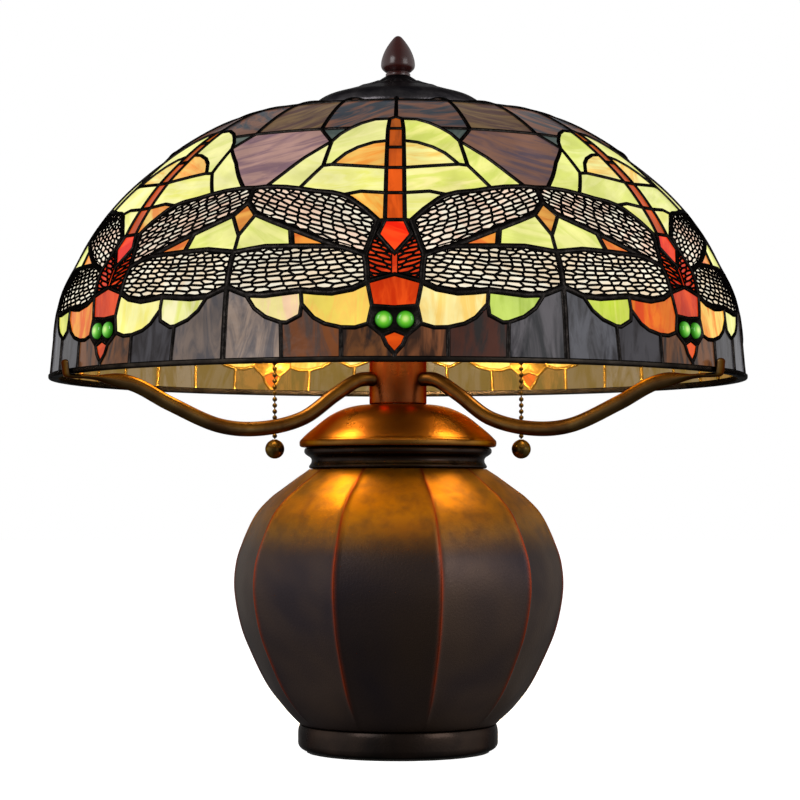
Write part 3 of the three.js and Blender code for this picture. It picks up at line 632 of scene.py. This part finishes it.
# The pattern of half a sector. A junction is so many mm beside the insect's axis and up the glass; "edge" is the
# seam between two sectors and "sixth" the upright seam a third of the way round a sector.
JUNCTIONS = {
    "a0": (0, 0), "a3": (0, 2.5), "a16": (0, 16), "a29": (0, 29), "a48": (0, 48.5), "a63": (0, 62),
    "a85": (0, 85), "a105": (0, 105), "a126": (0, 126), "a146": (0, 146), "a167": (0, 167), "a183": (0, 183),
    "t85": (5.7, 85), "t105": (5.4, 105), "t126": (5.2, 126), "t146": (5.0, 146), "t153": (4.9, 153),
    "t167": (4.7, 167), "t180": (3.8, 180), "s72": (9.6, 75),
    "W1": (9.8, 84.5), "W2": (17, 92.5), "W3": (26, 101), "W3b": (30.5, 103.8), "W4": (37, 106), "W5": (47, 107.5),
    "W6": (57, 110), "W7": (66, 111.8), "W8": (78, 113), "Wt": ("edge", 112.5), "We": ("edge", 101),
    "Wq": (83.5, 91.5), "W73": (73, 86), "W61": (61, 80.3), "W55": (53, 76.5), "W42": (42, 71.3),
    "WQ": (33, 67), "W26": (26, 64.8), "Wx": (17, 61), "Wy": (16, 53), "L48": (48, 67.6), "L60": (60, 68),
    "L77": (77, 68.4), "L1": ("edge", 65.5), "L2": ("edge", 43), "L87": (88, 38), "L76": (76, 37.3),
    "L66": (66, 38.3), "L54": (54, 39.5), "L45": (45, 38.4), "L36": (36, 37.8), "L23": (24, 40),
    "L3": (15.5, 44), "Lr": ("edge", 0),
    "e20": (20, 106.3), "d21": (21, 127.8), "d44": (43, 129), "d32": (37.5, 129.8), "b30": (34.5, 134),
    "b27": (29.5, 140.5), "b20": (22.3, 146.5), "b13": (13.2, 151.3), "J": (38.5, 153.5), "a36": (33.5, 161.5),
    "k28": (27, 168.5), "a20": (20.5, 174.3), "a12": (12.5, 179.3), "c56": (55, 137.5), "c68": (68, 123),
    "m45": ("sixth", 168.5), "mB": ("edge", 168.5), "dB": ("edge", 77), "lb": (12.8, 30), "p15": (15, 19.8),
    "p22": (22.5, 17.6), "p31": (30.5, 17.8), "p39": (40, 20), "p46": (46.5, 23.6), "p53": (53.5, 31.5),
    "o54": (54.5, 25), "o63": (62.5, 21), "o68": (66, 21.2), "o75": (75.5, 24.6), "o82": (82.5, 29.8), "bk": (7, 13.2),
    "bk2": (4.6, 7.6), "r32": (30.5, 0), "r68": (65.5, 0), "T0": (0, 217), "T1": ("sixth", 217),
    "TB": ("edge", 217), "U0": (0, 283.5), "U1": ("sixth", 283.5), "UB": ("edge", 283.5)}
# Each pane's corners on one side. A pane on the axis, or on the seam between sectors, is the half and its mirror.
ON_AXIS = {
    "tail_1": "a85 t85 t105 a105", "tail_2": "a105 t105 t126 a126", "tail_3": "a126 t126 t146 a146",
    "tail_4": "a146 t146 t153 t167 a167", "tail_5": "a167 t167 t180 a183", "shield": "a63 s72 t85 a85",
    "thorax": "a48 L3 Wy Wx W1 t85 s72 a63", "body": "a29 lb L3 a48", "face": "a16 bk p15 lb a29",
    "beak": "a3 bk2 bk a16"}
ON_SIDE = {
    "upper_wing": "W1 Wx W26 WQ W42 W55 W61 W73 Wq We Wt W8 W7 W6 W5 W4 W3b W3 W2",
    "lower_wing": "Wx Wy L3 L23 L36 L45 L54 L66 L76 L87 L2 L1 L77 L60 L48 WQ W26",
    "gap_e": "t85 W1 W2 W3 W3b e20 t105", "gap_d": "t105 e20 W3b W4 W5 W6 d44 d32 d21 t126",
    "gap_b": "t126 d21 d32 b30 b27 b20 b13 t153 t146",
    "gap_a": "t153 b13 b20 b27 b30 d32 d44 J a36 k28 a20 a12 t180 t167",
    "gap_c": "W6 W7 W8 c68 c56 J d44", "dark_wedge": "J m45 k28 a36", "side_pane": "L60 L77 L1 dB Wq W73 W61",
    "orange_wedge": "WQ L48 L60 W61 W55 W42",
    "petal_in": "lb p15 p22 p31 p39 p46 p53 L54 L45 L36 L23 L3",
    "petal_out": "p53 o54 o63 o68 o75 o82 L87 L76 L66 L54",
    "skirt_1": "a0 r32 p31 p22 p15 bk bk2 a3", "skirt_2": "r32 r68 o68 o63 o54 p53 p46 p39 p31",
    "skirt_3": "r68 Lr L2 L87 o82 o75 o68", "crown_1": "a183 t180 a12 a20 k28 m45 T1 T0",
    "crown_3": "T0 T1 U1 U0"}
ON_EDGE = {
    "amethyst": "Wt mB m45 J c56 c68 W8", "diamond": "dB We Wq", "crown_2": "mB TB T1 m45",
    "crown_4": "TB UB U1 T1"}


def place(name):
    """A junction's angle from its insect's axis, and its distance up the glass."""
    beside, s = JUNCTIONS[name]
    if beside == "edge":
        return HALF, s
    if beside == "sixth":
        return HALF * 2 / 3, s
    return beside / radius_at(s), s


def outline_of(corner_names):
    """The corners' angles and distances up the glass, with points put in along each side, and 1 for each point
    that a wide seam follows."""
    names = corner_names.split()
    corners = np.array([place(name) for name in names])
    parts = []
    for a, b in zip(corners, np.roll(corners, -1, axis=0)):
        middle = radius_at((a[1] + b[1]) / 2)
        count = max(1, int(math.ceil(math.hypot((b[0] - a[0]) * middle, b[1] - a[1]) / SPACING - 1e-6)))
        parts.append(a + (b - a) * (np.arange(count) / count)[:, None])
    counts = [len(part) for part in parts]
    wide = np.repeat([a[0] in "WL" and b[0] in "WL" for a, b in zip(names, names[1:] + names[:1])], counts)
    return np.concatenate(parts), wide


def half_and_mirror(half, wide, about):
    """Closes a half outline, whose first and last corners or runs are on its mirror line, with its mirror."""
    on = np.abs(half[:, 0] - about) < 1e-9
    start = np.flatnonzero(~on)[0]
    half, wide, on = (np.roll(v, -start, axis=0) for v in (half, wide, on))
    open_part = half[~on]
    first, last = half[-1], half[np.flatnonzero(on)[0]]
    wide_first, wide_open = wide[-1], wide[~on]
    other = open_part[::-1] * (-1, 1) + (2 * about, 0)
    points = np.concatenate([[first], open_part, [last], other])
    return points, np.concatenate([[wide_first], wide_open, wide_open[::-1], [wide_first]])


def sector_panes():
    """Every pane of one sector: its name, its side, and its outline's angles, distances and wide seams."""
    panes = []
    for name, corners in ON_AXIS.items():
        panes.append((name, 0, *half_and_mirror(*outline_of(corners), 0)))
    for name, corners in ON_EDGE.items():
        panes.append((name, 0, *half_and_mirror(*outline_of(corners), HALF)))
    for name, corners in ON_SIDE.items():
        points, wide = outline_of(corners)
        panes.append((name, 1, points, wide))
        panes.append((name, -1, points[::-1] * (-1, 1), np.roll(wide[::-1], -1)))
    return panes


def inset(points, width):
    """The outline drawn in by a width on each side. A corner goes to where its two sides' shifted lines meet. A
    side that would turn round is left out, and its corners go to where the lines on either side of it meet."""
    middle = points.mean(0)
    scale = np.array([radius_at(middle[1]), 1.0])
    flat = (points - middle) * scale
    side = np.roll(flat, -1, axis=0) - flat
    side /= np.linalg.norm(side, axis=1, keepdims=True) + 1e-12
    area = np.sum(flat[:, 0] * np.roll(flat[:, 1], -1) - np.roll(flat[:, 0], -1) * flat[:, 1])
    inward = np.stack([-side[:, 1], side[:, 0]], -1) * np.sign(area)
    shift = np.sum(inward * flat, axis=1) + width
    alive = np.ones(len(flat), bool)
    index = np.arange(len(flat))
    drawn = flat
    for _ in range(12):
        left = np.flatnonzero(alive)
        if len(left) < 3:
            drawn = np.repeat(flat.mean(0)[None], len(flat), 0)
            break
        spot = np.searchsorted(left, index)
        one, two = left[spot - 1], left[spot % len(left)]
        (ax, ay), (bx, by) = inward[one].T, inward[two].T
        cross = ax * by - ay * bx
        near = np.abs(cross) < 0.12
        safe = np.where(near, 1, cross)
        meet = np.stack([(shift[one] * by - shift[two] * ay) / safe,
                         (shift[two] * ax - shift[one] * bx) / safe], -1)
        mean = inward[one] + inward[two]
        mean /= np.maximum(np.linalg.norm(mean, axis=1, keepdims=True), 1e-9)
        beside = flat + mean * np.maximum(width[one], width[two])[:, None]
        drawn = np.where(near[:, None], beside, meet)
        hollow = (cross * np.sign(area) < 0) & ~near
        move = drawn - flat
        reach = np.linalg.norm(move, axis=1, keepdims=True)
        most = 2 * np.maximum(width[one], width[two])[:, None]
        drawn = np.where(hollow[:, None], flat + move * np.minimum(1, most / np.maximum(reach, 1e-9)), drawn)
        turned_round = np.sum((np.roll(drawn, -1, axis=0) - drawn) * side, axis=1) < -1e-9
        if not np.any(turned_round & alive):
            break
        alive &= ~turned_round
    return drawn / scale + middle


def net(outlines, rises):
    """A lattice of beads along every outline's sides. Each outline has rings at shares of the bead's half width
    in from its sides, and each ring a rise off the glass; the first and last rings lie on the sides, where
    neighbouring outlines share them. A side that has no neighbour is closed with a strip between those two.
    Also returns 1 for each point on the inside of the glass and 0 for the others."""
    points, faces, rims, inner, start = [], [], [], [], 0
    half = len(rises) // 2
    for outline, width, filled in outlines:
        count = len(outline)
        rings = [on_dome(*(outline if share == 0 else inset(outline, width * share)).T, rise)
                 for share, rise in rises]
        at = np.arange(count)
        after = np.roll(at, -1)
        last = half - 1
        for i in range(len(rises) - 1):
            if filled and i == last:
                continue
            low, high = start + i * count, start + (i + 1) * count
            faces.append(np.stack([low + at, low + after, high + after, high + at], -1))
        if filled:
            centre = np.full(count, start + len(rises) * count)
            upper, lower = start + last * count, start + (last + 1) * count
            faces.append(np.stack([upper + at, upper + after, centre], -1))
            faces.append(np.stack([centre + 1, lower + after, lower + at], -1))
            rings += [rings[last].mean(0)[None], rings[last + 1].mean(0)[None]]
        lowest = start + (len(rises) - 1) * count
        rims.append(np.stack([start + at, start + after, lowest + at, lowest + after], -1))
        points.append(np.concatenate(rings))
        inner.append(np.repeat([0, 1], half * count))
        if filled:
            inner.append([0, 1])
        start += len(points[-1])
    points, rims = np.concatenate(points), np.concatenate(rims)
    points = np.round(points, 2) + 0.0
    _, place_of = np.unique(points, axis=0, return_inverse=True)
    place_of = place_of.ravel()
    ends = place_of[rims]
    pair = np.where(ends[:, :1] < ends[:, 1:2], ends, ends[:, [1, 0, 3, 2]])
    _, which, times = np.unique(pair, axis=0, return_inverse=True, return_counts=True)
    alone = times[which.ravel()] != 2
    wall = rims[alone][:, [1, 0, 2, 3]]
    return (points, faces + [wall]), np.concatenate(inner)


panes = sector_panes()
turns = [SHADE_TURN + sector * 2 * HALF for sector in range(SECTORS)]
# A seam's half: the share of its half width in from the middle, and the height off the glass.
BEAD = [(0, 1.15), (0.5, 0.95), (1, 0.1), (1, -GLASS - 0.1), (0.5, -GLASS - 0.95), (0, -GLASS - 1.15)]
seams = [(points + (turn, 0), np.where(wide, WIDE_SEAM, SEAM), name == "face")
         for turn in turns for name, _, points, wide in panes]
leading, inside = net(seams, BEAD)
piece("leading", leading, leading_metal, "shade", slot="lead_came", sharp=60, inside=inside)

# Colours: what each pane is cut from, its tint and its streak, for every sector and side unless it says else.
GLASS_CUT = {
    "tail_1": ("#D85414", "#B8440E"), "tail_2": ("#DC5614", "#B8440E"), "tail_3": ("#D05814", "#A8420E"),
    "tail_4": ("#C25410", "#96400C"), "tail_5": ("#AE5410", "#803A0C"), "shield": ("#FF4818", "#E82008"),
    "thorax": ("#EC4A1C", "#C42A0A"), "body": ("#DE4810", "#C22E04"), "beak": ("#E0500C", "#C23C06"),
    "upper_wing": ("#F5EED8", "#F0CDB4"), "lower_wing": ("#F5EED8", "#EFD9B8"),
    "gap_e": ("#E9E67A", "#F4F0A0"), "gap_d": ("#F4F0A0", "#EAE878"), "gap_b": ("#F3EC96", "#EFC05A"),
    "gap_a": ("#F2EEA0", "#E2E488"), "gap_c": ("#ECEB94", "#F4F1A6"), "dark_wedge": ("#3C4744", "#566058"),
    "side_pane": ("#F0EE94", "#DAE076"), "orange_wedge": ("#F29A3C", "#E0662A"),
    "petal_in": ("#F4E070", "#F2B84C"), "petal_out": ("#F1EBB4", "#DDE07A"),
    "skirt_1": ("#6E4426", "#2A201C"), "skirt_2": ("#3C3A3E", "#221E20"), "skirt_3": ("#4C4C52", "#262428"),
    "amethyst": ("#7A5C50", "#55484E"), "diamond": ("#E0A048", "#C5702C"), "crown_1": ("#6E4A3A", "#2E343C"),
    "crown_2": ("#4A322C", "#6E5638"), "crown_3": ("#624436", "#2E3034"), "crown_4": ("#4C3834", "#74603E")}
RECUT = {
    (6, "amethyst", 0): ("#AA857C", "#7C5F68"), (0, "amethyst", 0): ("#7C5848", "#56464E"),
    (0, "skirt_1", 1): ("#33221A", "#7A4A2E"), (0, "skirt_3", 1): ("#545054", "#1E1E22"),
    (0, "skirt_2", -1): ("#6E3E20", "#4A3A34"), (0, "skirt_3", -1): ("#8E7B6E", "#565052"),
    (0, "skirt_2", 1): ("#2D2928", "#4A2C24"), (6, "skirt_3", 1): ("#6E6058", "#4A4648"),
    (0, "gap_e", -1): ("#F3A03C", "#F0C860"), (6, "gap_b", 1): ("#F29A3C", "#F3C060"),
    (6, "gap_e", 1): ("#F0903C", "#F4D070"), (6, "petal_out", -1): ("#C8D048", "#E0DC60"),
    (6, "petal_in", -1): ("#E4640C", "#F0A030"), (6, "petal_in", 1): ("#F3E97C", "#F6F0A0"),
    (1, "petal_in", -1): ("#D8460A", "#E67414"), (1, "petal_in", 1): ("#F08A1C", "#F6D060"),
    (1, "petal_out", -1): ("#BFD534", "#D8E060"), (1, "petal_out", 1): ("#F4F0A0", "#E8E880"),
    (1, "gap_d", -1): ("#DEE37A", "#ECEC94"), (1, "gap_c", -1): ("#D9DF74", "#E8EA8E"),
    (1, "gap_a", -1): ("#D4DC6C", "#E6EA90"), (1, "gap_d", 1): ("#DCE27C", "#ECEC98"),
    (0, "gap_b", -1): ("#F29A3C", "#F3C060"), (0, "gap_a", 1): ("#D2DA68", "#EDE98A"),
    (0, "gap_c", 1): ("#D2DA6C", "#EAE88A"), (0, "gap_d", 1): ("#F6EC9A", "#DCE070"),
    (0, "petal_out", -1): ("#EBDC8C", "#F0C8A0"), (0, "petal_in", -1): ("#EBD35C", "#F4C15A"),
    (0, "petal_in", 1): ("#F8D070", "#FBEAA0"), (0, "petal_out", 1): ("#C2D765", "#A8C048")}


def sheet_of(sector, outlines):
    """The panes of one sector as thin plates. Each is a triangulated outline with points inside every 9 mm; its
    face follows the dome at the edge and goes over to the pane's own flat middle, except on the wings."""
    shapes, tints, streaks, flows, inner_side = [], [], [], [], []
    random = np.random.default_rng(40 + sector)
    for name, side, points, wide in outlines:
        if name == "face":
            continue
        outline = inset(points, np.where(wide, WIDE_SEAM, SEAM) - LAP)
        outline = outline[np.linalg.norm((np.roll(outline, -1, axis=0) - outline) * (200, 1), axis=1) > 0.05]
        middle = outline.mean(0)
        scale = np.array([radius_at(middle[1]), 1.0])
        flat = (outline - middle) * scale
        low, high = flat.min(0), flat.max(0)
        x, y = np.meshgrid(np.arange(low[0], high[0], 9), np.arange(low[1], high[1], 8))
        x = x + (np.arange(len(x)) % 2)[:, None] * 4.5
        inner = np.stack([x.ravel(), y.ravel()], -1)
        count = len(flat)
        following = np.roll(flat, -1, axis=0)
        run = following - flat
        offset = inner[:, None] - flat
        share = np.clip(np.sum(offset * run, -1) / (np.sum(run**2, -1) + 1e-12), 0, 1)
        away = np.linalg.norm(offset - share[..., None] * run, axis=-1).min(1)
        crosses = (flat[:, 1] > inner[:, None, 1]) != (following[:, 1] > inner[:, None, 1])
        reach = flat[:, 0] + offset[..., 1] / np.where(run[:, 1] == 0, 1, run[:, 1]) * run[:, 0]
        inside = (crosses & (inner[:, None, 0] < reach)).sum(1) % 2 == 1
        keep = inside & (away > 3.2)
        inner, away = inner[keep], away[keep]
        both = np.concatenate([flat, inner])
        loop = [(i, (i + 1) % count) for i in range(count)]
        found, _, triangles, *_ = delaunay_2d_cdt(both.tolist(), loop, [], 1, 1e-6)
        if len(found) != len(both):
            raise SystemExit(f"the outline of {name} crosses itself")
        triangles = np.array(triangles)
        spots = both / scale + middle
        face = on_dome(*spots.T, 0)
        back = on_dome(*spots.T, -GLASS)
        if "wing" not in name:
            centre = face[:count].mean(0)
            _, _, axes = np.linalg.svd(face[:count] - centre)
            normal = axes[2]
            drop = ((face - centre) @ normal)[:, None] * normal
            blend = np.concatenate([np.zeros(count), smoothstep(away, 1.5, 7) * 0.85])[:, None]
            face = face - drop * blend
            back = back - drop * blend
        at = np.arange(count)
        after = np.roll(at, -1)
        total = len(both)
        a, b, c = both[triangles[:, 0]], both[triangles[:, 1]], both[triangles[:, 2]]
        wise = (b[:, 0] - a[:, 0]) * (c[:, 1] - a[:, 1]) - (b[:, 1] - a[:, 1]) * (c[:, 0] - a[:, 0]) < 0
        triangles[wise] = triangles[wise][:, ::-1]
        area = np.sum(flat[:, 0] * following[:, 1] - following[:, 0] * flat[:, 1])
        edge = np.stack([at, after, after + total, at + total], -1)[:, ::1 if area >= 0 else -1]
        shapes.append((np.concatenate([face, back]), [triangles, triangles[:, ::-1] + total, edge[:, ::-1]]))
        tint, streak = RECUT.get((sector, name, side), GLASS_CUT[name])
        upright = name.startswith(("skirt", "tail", "petal", "body"))
        angle = random.uniform(-0.2, 0.2) + math.pi / 2 if upright else random.uniform(-0.9, 0.9)
        along = np.array([math.cos(angle), math.sin(angle)])
        across = np.array([-along[1], along[0]])
        seed = random.uniform(0, 400)
        flow = np.stack([both @ along, both @ across, np.full(total, seed)], -1)
        tone = random.uniform(0.92, 1.06)
        for values, shade in ((tints, tint), (streaks, streak)):
            values.append(np.tile(np.array(colour(shade)) * (tone, tone, tone, 1), (2 * total, 1)))
        flows.append(np.concatenate([flow, flow]))
        inner_side.append(np.repeat([0, 1], total))
    values = {"tint": tints, "streak": streaks, "flow": flows, "inside": inner_side}
    return together(*shapes), {label: np.concatenate(value) for label, value in values.items()}


def clipped(polygon, normal, limit):
    """The part of a polygon where normal . p is below a limit: its corners there, and where its sides cross."""
    after = np.roll(polygon, -1, axis=0)
    depth, depth_after = polygon @ normal - limit, after @ normal - limit
    crossing = (depth < 0) != (depth_after < 0)
    share = depth / np.where(crossing, depth - depth_after, 1)
    points = np.stack([polygon, polygon + share[:, None] * (after - polygon)], 1)
    return points[np.stack([depth < 0, crossing], 1)]


# Half the width of a line of the lace, and how much longer its cells get towards a wing's low edge.
LACE_SEAM, LACE_STRETCH = 0.68, 1.1


def wing_cells(outline, along, long, short, seed):
    """The lace of a wing: one cell round each of a set of jittered, staggered points, reaching half way to its
    neighbours, where a distance along the wing counts less than one across it, cut to the wing's outline. The
    rows are drawn out towards the wing's low edge."""
    random = np.random.default_rng(seed)
    middle = outline.mean(0)
    scale = np.array([radius_at(middle[1]), 1.0])
    turn = np.array([[math.cos(along), -math.sin(along)], [math.sin(along), math.cos(along)]])
    flat = ((outline - middle) * scale) @ turn / (long, short)
    low, high = flat.min(0) - 1, flat.max(0) + 1
    x, y = np.meshgrid(np.arange(low[0], high[0]), np.arange(low[1], high[1]))
    x = x + (np.arange(len(x)) % 2)[:, None] * 0.5
    x = low[0] + (x - low[0]) * (1 + LACE_STRETCH * (high[1] - y) / (high[1] - low[1]))
    seeds = np.stack([x.ravel(), y.ravel()], -1) + random.uniform(-0.3, 0.3, (x.size, 2))
    cells = []
    for i, seed_point in enumerate(seeds):
        other = np.delete(seeds, i, axis=0)
        share = (high[1] - (other[:, 1] + seed_point[1]) / 2) / (high[1] - low[1])
        drawn = 1 + LACE_STRETCH * np.clip(share, 0, 1)
        aim = (other - seed_point) / np.stack([drawn, np.ones(len(drawn))], -1)
        near = np.argsort(np.linalg.norm(aim, axis=1))[:14]
        cell = flat
        for k in near:
            neighbour = other[k]
            normal = aim[k] / (drawn[k], 1)
            cell = clipped(cell, normal, normal @ (neighbour + seed_point) / 2)
            if len(cell) < 3:
                break
        if len(cell) < 3:
            continue
        step = np.linalg.norm(np.roll(cell, -1, axis=0) - cell, axis=1)
        if step.sum() < 0.8:
            continue
        cells.append((cell * (long, short)) @ turn.T / scale + middle)
    return cells


# A line's half, as in BEAD.
LACE = [(0, 0.85), (1, 0.5), (1, -0.2), (0, -0.2)]
# The lace's slant along each piece of glass, the cells' length and height, and the seed of their jitter.
LACE_RUNS = {"upper_wing": (0.42, 4.6, 3.0, 5), "lower_wing": (-0.03, 4.8, 2.9, 8), "thorax": (0.35, 5.8, 2.7, 3)}
lace_cells = []
for name, side, points, wide in panes:
    if side >= 0 and name in LACE_RUNS:
        slant, long, short, seed = LACE_RUNS[name]
        if side == 0:
            points, _ = outline_of(ON_AXIS[name])
        trimmed = inset(points, np.full(len(points), SEAM))
        made = wing_cells(trimmed, slant, long, short, seed)
        lace_cells += [(cell, side) for cell in made for side in (1, -1)]

for sector, turn in enumerate(turns):
    outlines = [(name, side, points + (turn, 0), wide) for name, side, points, wide in panes]
    shape, values = sheet_of(sector, outlines)
    piece(f"glass_panes_{sector + 1}", shape, sheet_glass, "shade", [f"shade_section_{sector + 1}"],
          "art_glass", 25, **values)
    lace = [((cell * (side, 1) + (turn, 0))[::side], np.full(len(cell), LACE_SEAM), False)
            for cell, side in lace_cells]
    piece(f"wing_lace_{sector + 1}", net(lace, LACE)[0], filigree_metal, "shade", slot="lead_came", sharp=50)


EYE_RADIUS, EYE_ASIDE, EYE_HEIGHT = 5, 6.15, 22


def cabochon(turn, s):
    """A pressed glass eye: a disc with a domed face, square to the glass, and how near the middle a point is."""
    profile = through([(EYE_RADIUS, 0), (4.7, 1.1), (3.8, 1.95), (2.3, 2.45), (0, 2.6)], 12)
    points, faces = turned(np.concatenate([[(0, -GLASS), (EYE_RADIUS, -GLASS)], profile]), 28)
    out, up = facing(s)
    normal = np.array([out * math.sin(turn), -out * math.cos(turn), up])
    across = np.array([math.cos(turn), math.sin(turn), 0])
    frame_of = np.stack([across, np.cross(normal, across), normal])
    return (points @ frame_of + on_dome(turn, s), faces), 1 - np.hypot(points[:, 0], points[:, 1]) / EYE_RADIUS


eye_s = np.interp(dome_low + EYE_HEIGHT, dome_curve[:, 1], ARC)
for sector, turn in enumerate(turns):
    for letter, side in (("a", -1), ("b", 1)):
        shape, middle = cabochon(turn + side * EYE_ASIDE / radius_at(eye_s), eye_s)
        piece(f"cabochon_{sector + 1}{letter}", shape, jewel, "shade",
              [f"eye_jewel_{sector + 1}{letter}"], "jewel_glass", middle=middle)

came_radius, came_low, came_high = span("rim_came")
came_profile = rounded([
    (came_radius - 6.7, came_low), (came_radius, came_low), (came_radius, came_low + 2.8),
    (came_radius - 1.2, came_low + 2.8), (came_radius - 1.2, came_low + 1.7), (came_radius - 5.5, came_low + 1.7),
    (came_radius - 5.5, came_high), (came_radius - 6.7, came_high)], [1, 1.2, 0.5, 0.4, 0.2, 0.2, 0.4, 0.5])
piece("rim_channel", turned(came_profile, 168), came_metal, "shade", ["rim_came"], "lead_came")

ring_radius, ring_low, ring_high = span("crown_ring")
piece("crown_hoop", turned(rounded([
    (ring_radius - 7.7, ring_low), (ring_radius, ring_low), (ring_radius, ring_high),
    (ring_radius - 7.7, ring_high)], 1)), brass, "shade", ["crown_ring"], "brass")

crown_radius, crown_low, crown_high = span("crown_cap")
crown_rise = crown_high - crown_low


def petals(a, r, h):
    """A raised band of small petals round the neck: |cos 9a| between two radii, on the outside only."""
    band = smoothstep(r, 13, 16) * (1 - smoothstep(r, 27, 30))
    outside = h > crown_low + 0.55 * crown_rise - (r - 18) * 0.3
    return 0.9 * band * np.abs(np.cos(9 * a)) ** 0.6 * outside


crown_outside = through(np.array([
    (1, 2), (0.98, 4), (0.93, 7.2), (0.83, 10.5), (0.68, 13.2), (0.55, 15.5), (0.4, 17.8), (0.27, 20.5),
    (0.19, 23.4), (8.5 / crown_radius, crown_rise)]) * (crown_radius, 1) + (0, crown_low), 46)
crown_inside = [(5.4, crown_high), (5.4, crown_high - 3), (crown_radius * 0.34, crown_low + 16),
                (crown_radius * 0.8, crown_low + 8.5), (crown_radius - 1.6, crown_low + 1.4),
                (crown_radius - 1.4, crown_low)]
piece("crown_cover", turned(np.concatenate([crown_outside, crown_inside, [(crown_radius, crown_low)]]), 144,
                            petals), black_bronze, "shade", ["crown_cap"], "dark_bronze", 35)

finial_radius, finial_low, finial_high = span("finial")
finial_rise = finial_high - finial_low
finial_outside = through(np.array([
    (8.2, 0), (8.2, 1.4), (7.6, 2.3), (9.1, 3.4), (10.9, 5.4), (finial_radius, 8), (10.6, 12.2), (8.5, 17.4),
    (5.9, 21.6), (3.6, 24.6), (1.8, finial_rise - 0.6), (0, finial_rise)]) + (0, finial_low), 44)
piece("turned_finial", turned(np.concatenate([
    finial_outside, [(0, finial_low + 10), (3.45, finial_low + 10), (3.45, finial_low)]]), 48),
    lacquer, "finial", ["finial"], "finial_finish")

# ---- CAD parts that stay as they are, with their own finishes ----

KEPT = {"felt_pad": felt, "pipe_nut": zinc_steel, "pipe_washer": zinc_steel, "lamp_pipe": zinc_steel,
        "finial_stud": zinc_steel, "cord_gland": rubber, "nipple_left": zinc_steel, "nipple_right": zinc_steel,
        "socket_body_left": porcelain, "socket_body_right": porcelain}
for name, material in KEPT.items():
    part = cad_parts.get(name)
    if part:
        part.data.materials.clear()
        part.data.materials.append(material)

# ---- Floor, backdrop and lights ----

paper = plain("white_paper", "#F8F8F8", 0.9, 3.0, 0.0, glow=0.93)
paper.node_tree.nodes["Principled BSDF"].inputs["Specular IOR Level"].default_value = 0
bpy.ops.mesh.primitive_plane_add(size=14, location=(0, 0, 0))
floor = bpy.context.active_object
floor.name = "floor"
floor.data.materials.append(paper)
floor.visible_glossy = False
floor.visible_diffuse = False

# The room: white behind the object, and for the light on it a soft sky that fades to a dark ground, with
# bright walls to the left and the right.
world = bpy.data.worlds.new("studio")
scene.world = world
world.use_nodes = True
room = world.node_tree
room.nodes.clear()
toward = node(room, "SeparateXYZ", {"Vector": node(room, "TexCoord").outputs["Generated"]})
off_middle = node(room, "Math", {0: toward.outputs["X"]}, operation="ABSOLUTE").outputs[0]
flank = node(room, "MapRange", {
    "Value": off_middle, "From Min": 0.25, "From Max": 0.9, "To Min": 0.45, "To Max": 1.8}).outputs["Result"]
height = node(room, "MapRange", {"Value": toward.outputs["Z"], "From Min": -1.0, "From Max": 1.0})
sky = node(room, "ValToRGB", {"Fac": height.outputs["Result"]}, stops=[(0.3, 0.26), (0.95, 0.45), (0.52, 0.6)])
sight = node(room, "LightPath").outputs["Is Camera Ray"]
walls = node(room, "VectorMath", {0: sky.outputs["Color"], "Scale": flank}, operation="SCALE")
seen = node(room, "Mix", {0: sight, 6: walls.outputs[0], 7: (1, 1, 1, 1)}, data_type="RGBA")
background = node(room, "Background", {"Color": seen.outputs[2], "Strength": 1.0})
node(room, "OutputWorld", {"Surface": background.outputs[0]})
scene.view_settings.view_transform = "Standard"


def lamp(name, kind, where, aim, power, tone, size):
    """A light at a point in metres, turned to face another."""
    light = bpy.data.lights.new(name, kind)
    light.energy = power
    light.color = colour(tone)[:3]
    if kind == "AREA":
        light.size = size
    else:
        light.shadow_soft_size = size
    made = bpy.data.objects.new(name, light)
    scene.collection.objects.link(made)
    made.location = where
    direction = np.array(aim, float) - np.array(where, float)
    made.rotation_euler = (math.acos(-direction[2] / np.linalg.norm(direction)), 0,
                           math.atan2(direction[0], -direction[1]) + math.pi)
    return made


lamp("soft_left", "AREA", (-1.3, -1.5, 1.3), (0, 0, 0.25), 14, "#FFFFFF", 1.0)
lamp("soft_right", "AREA", (1.5, -1.2, 0.9), (0, 0, 0.25), 8, "#FFFFFF", 1.0)
lamp("bulb_light_left", "POINT", (-0.1, -0.03, 0.325), (0, 0, 0), 1.0, "#FFD08C", 0.03)
lamp("bulb_light_right", "POINT", (0.1, -0.03, 0.325), (0, 0, 0), 0.45, "#FFD08C", 0.03)
skirt_light = lamp("skirt_light", "SPOT", (0, 0, 0.29), (0, 0.2, 0.215), 20, "#FFD08C", 0.02)
skirt_light.data.spot_size = math.radians(110)
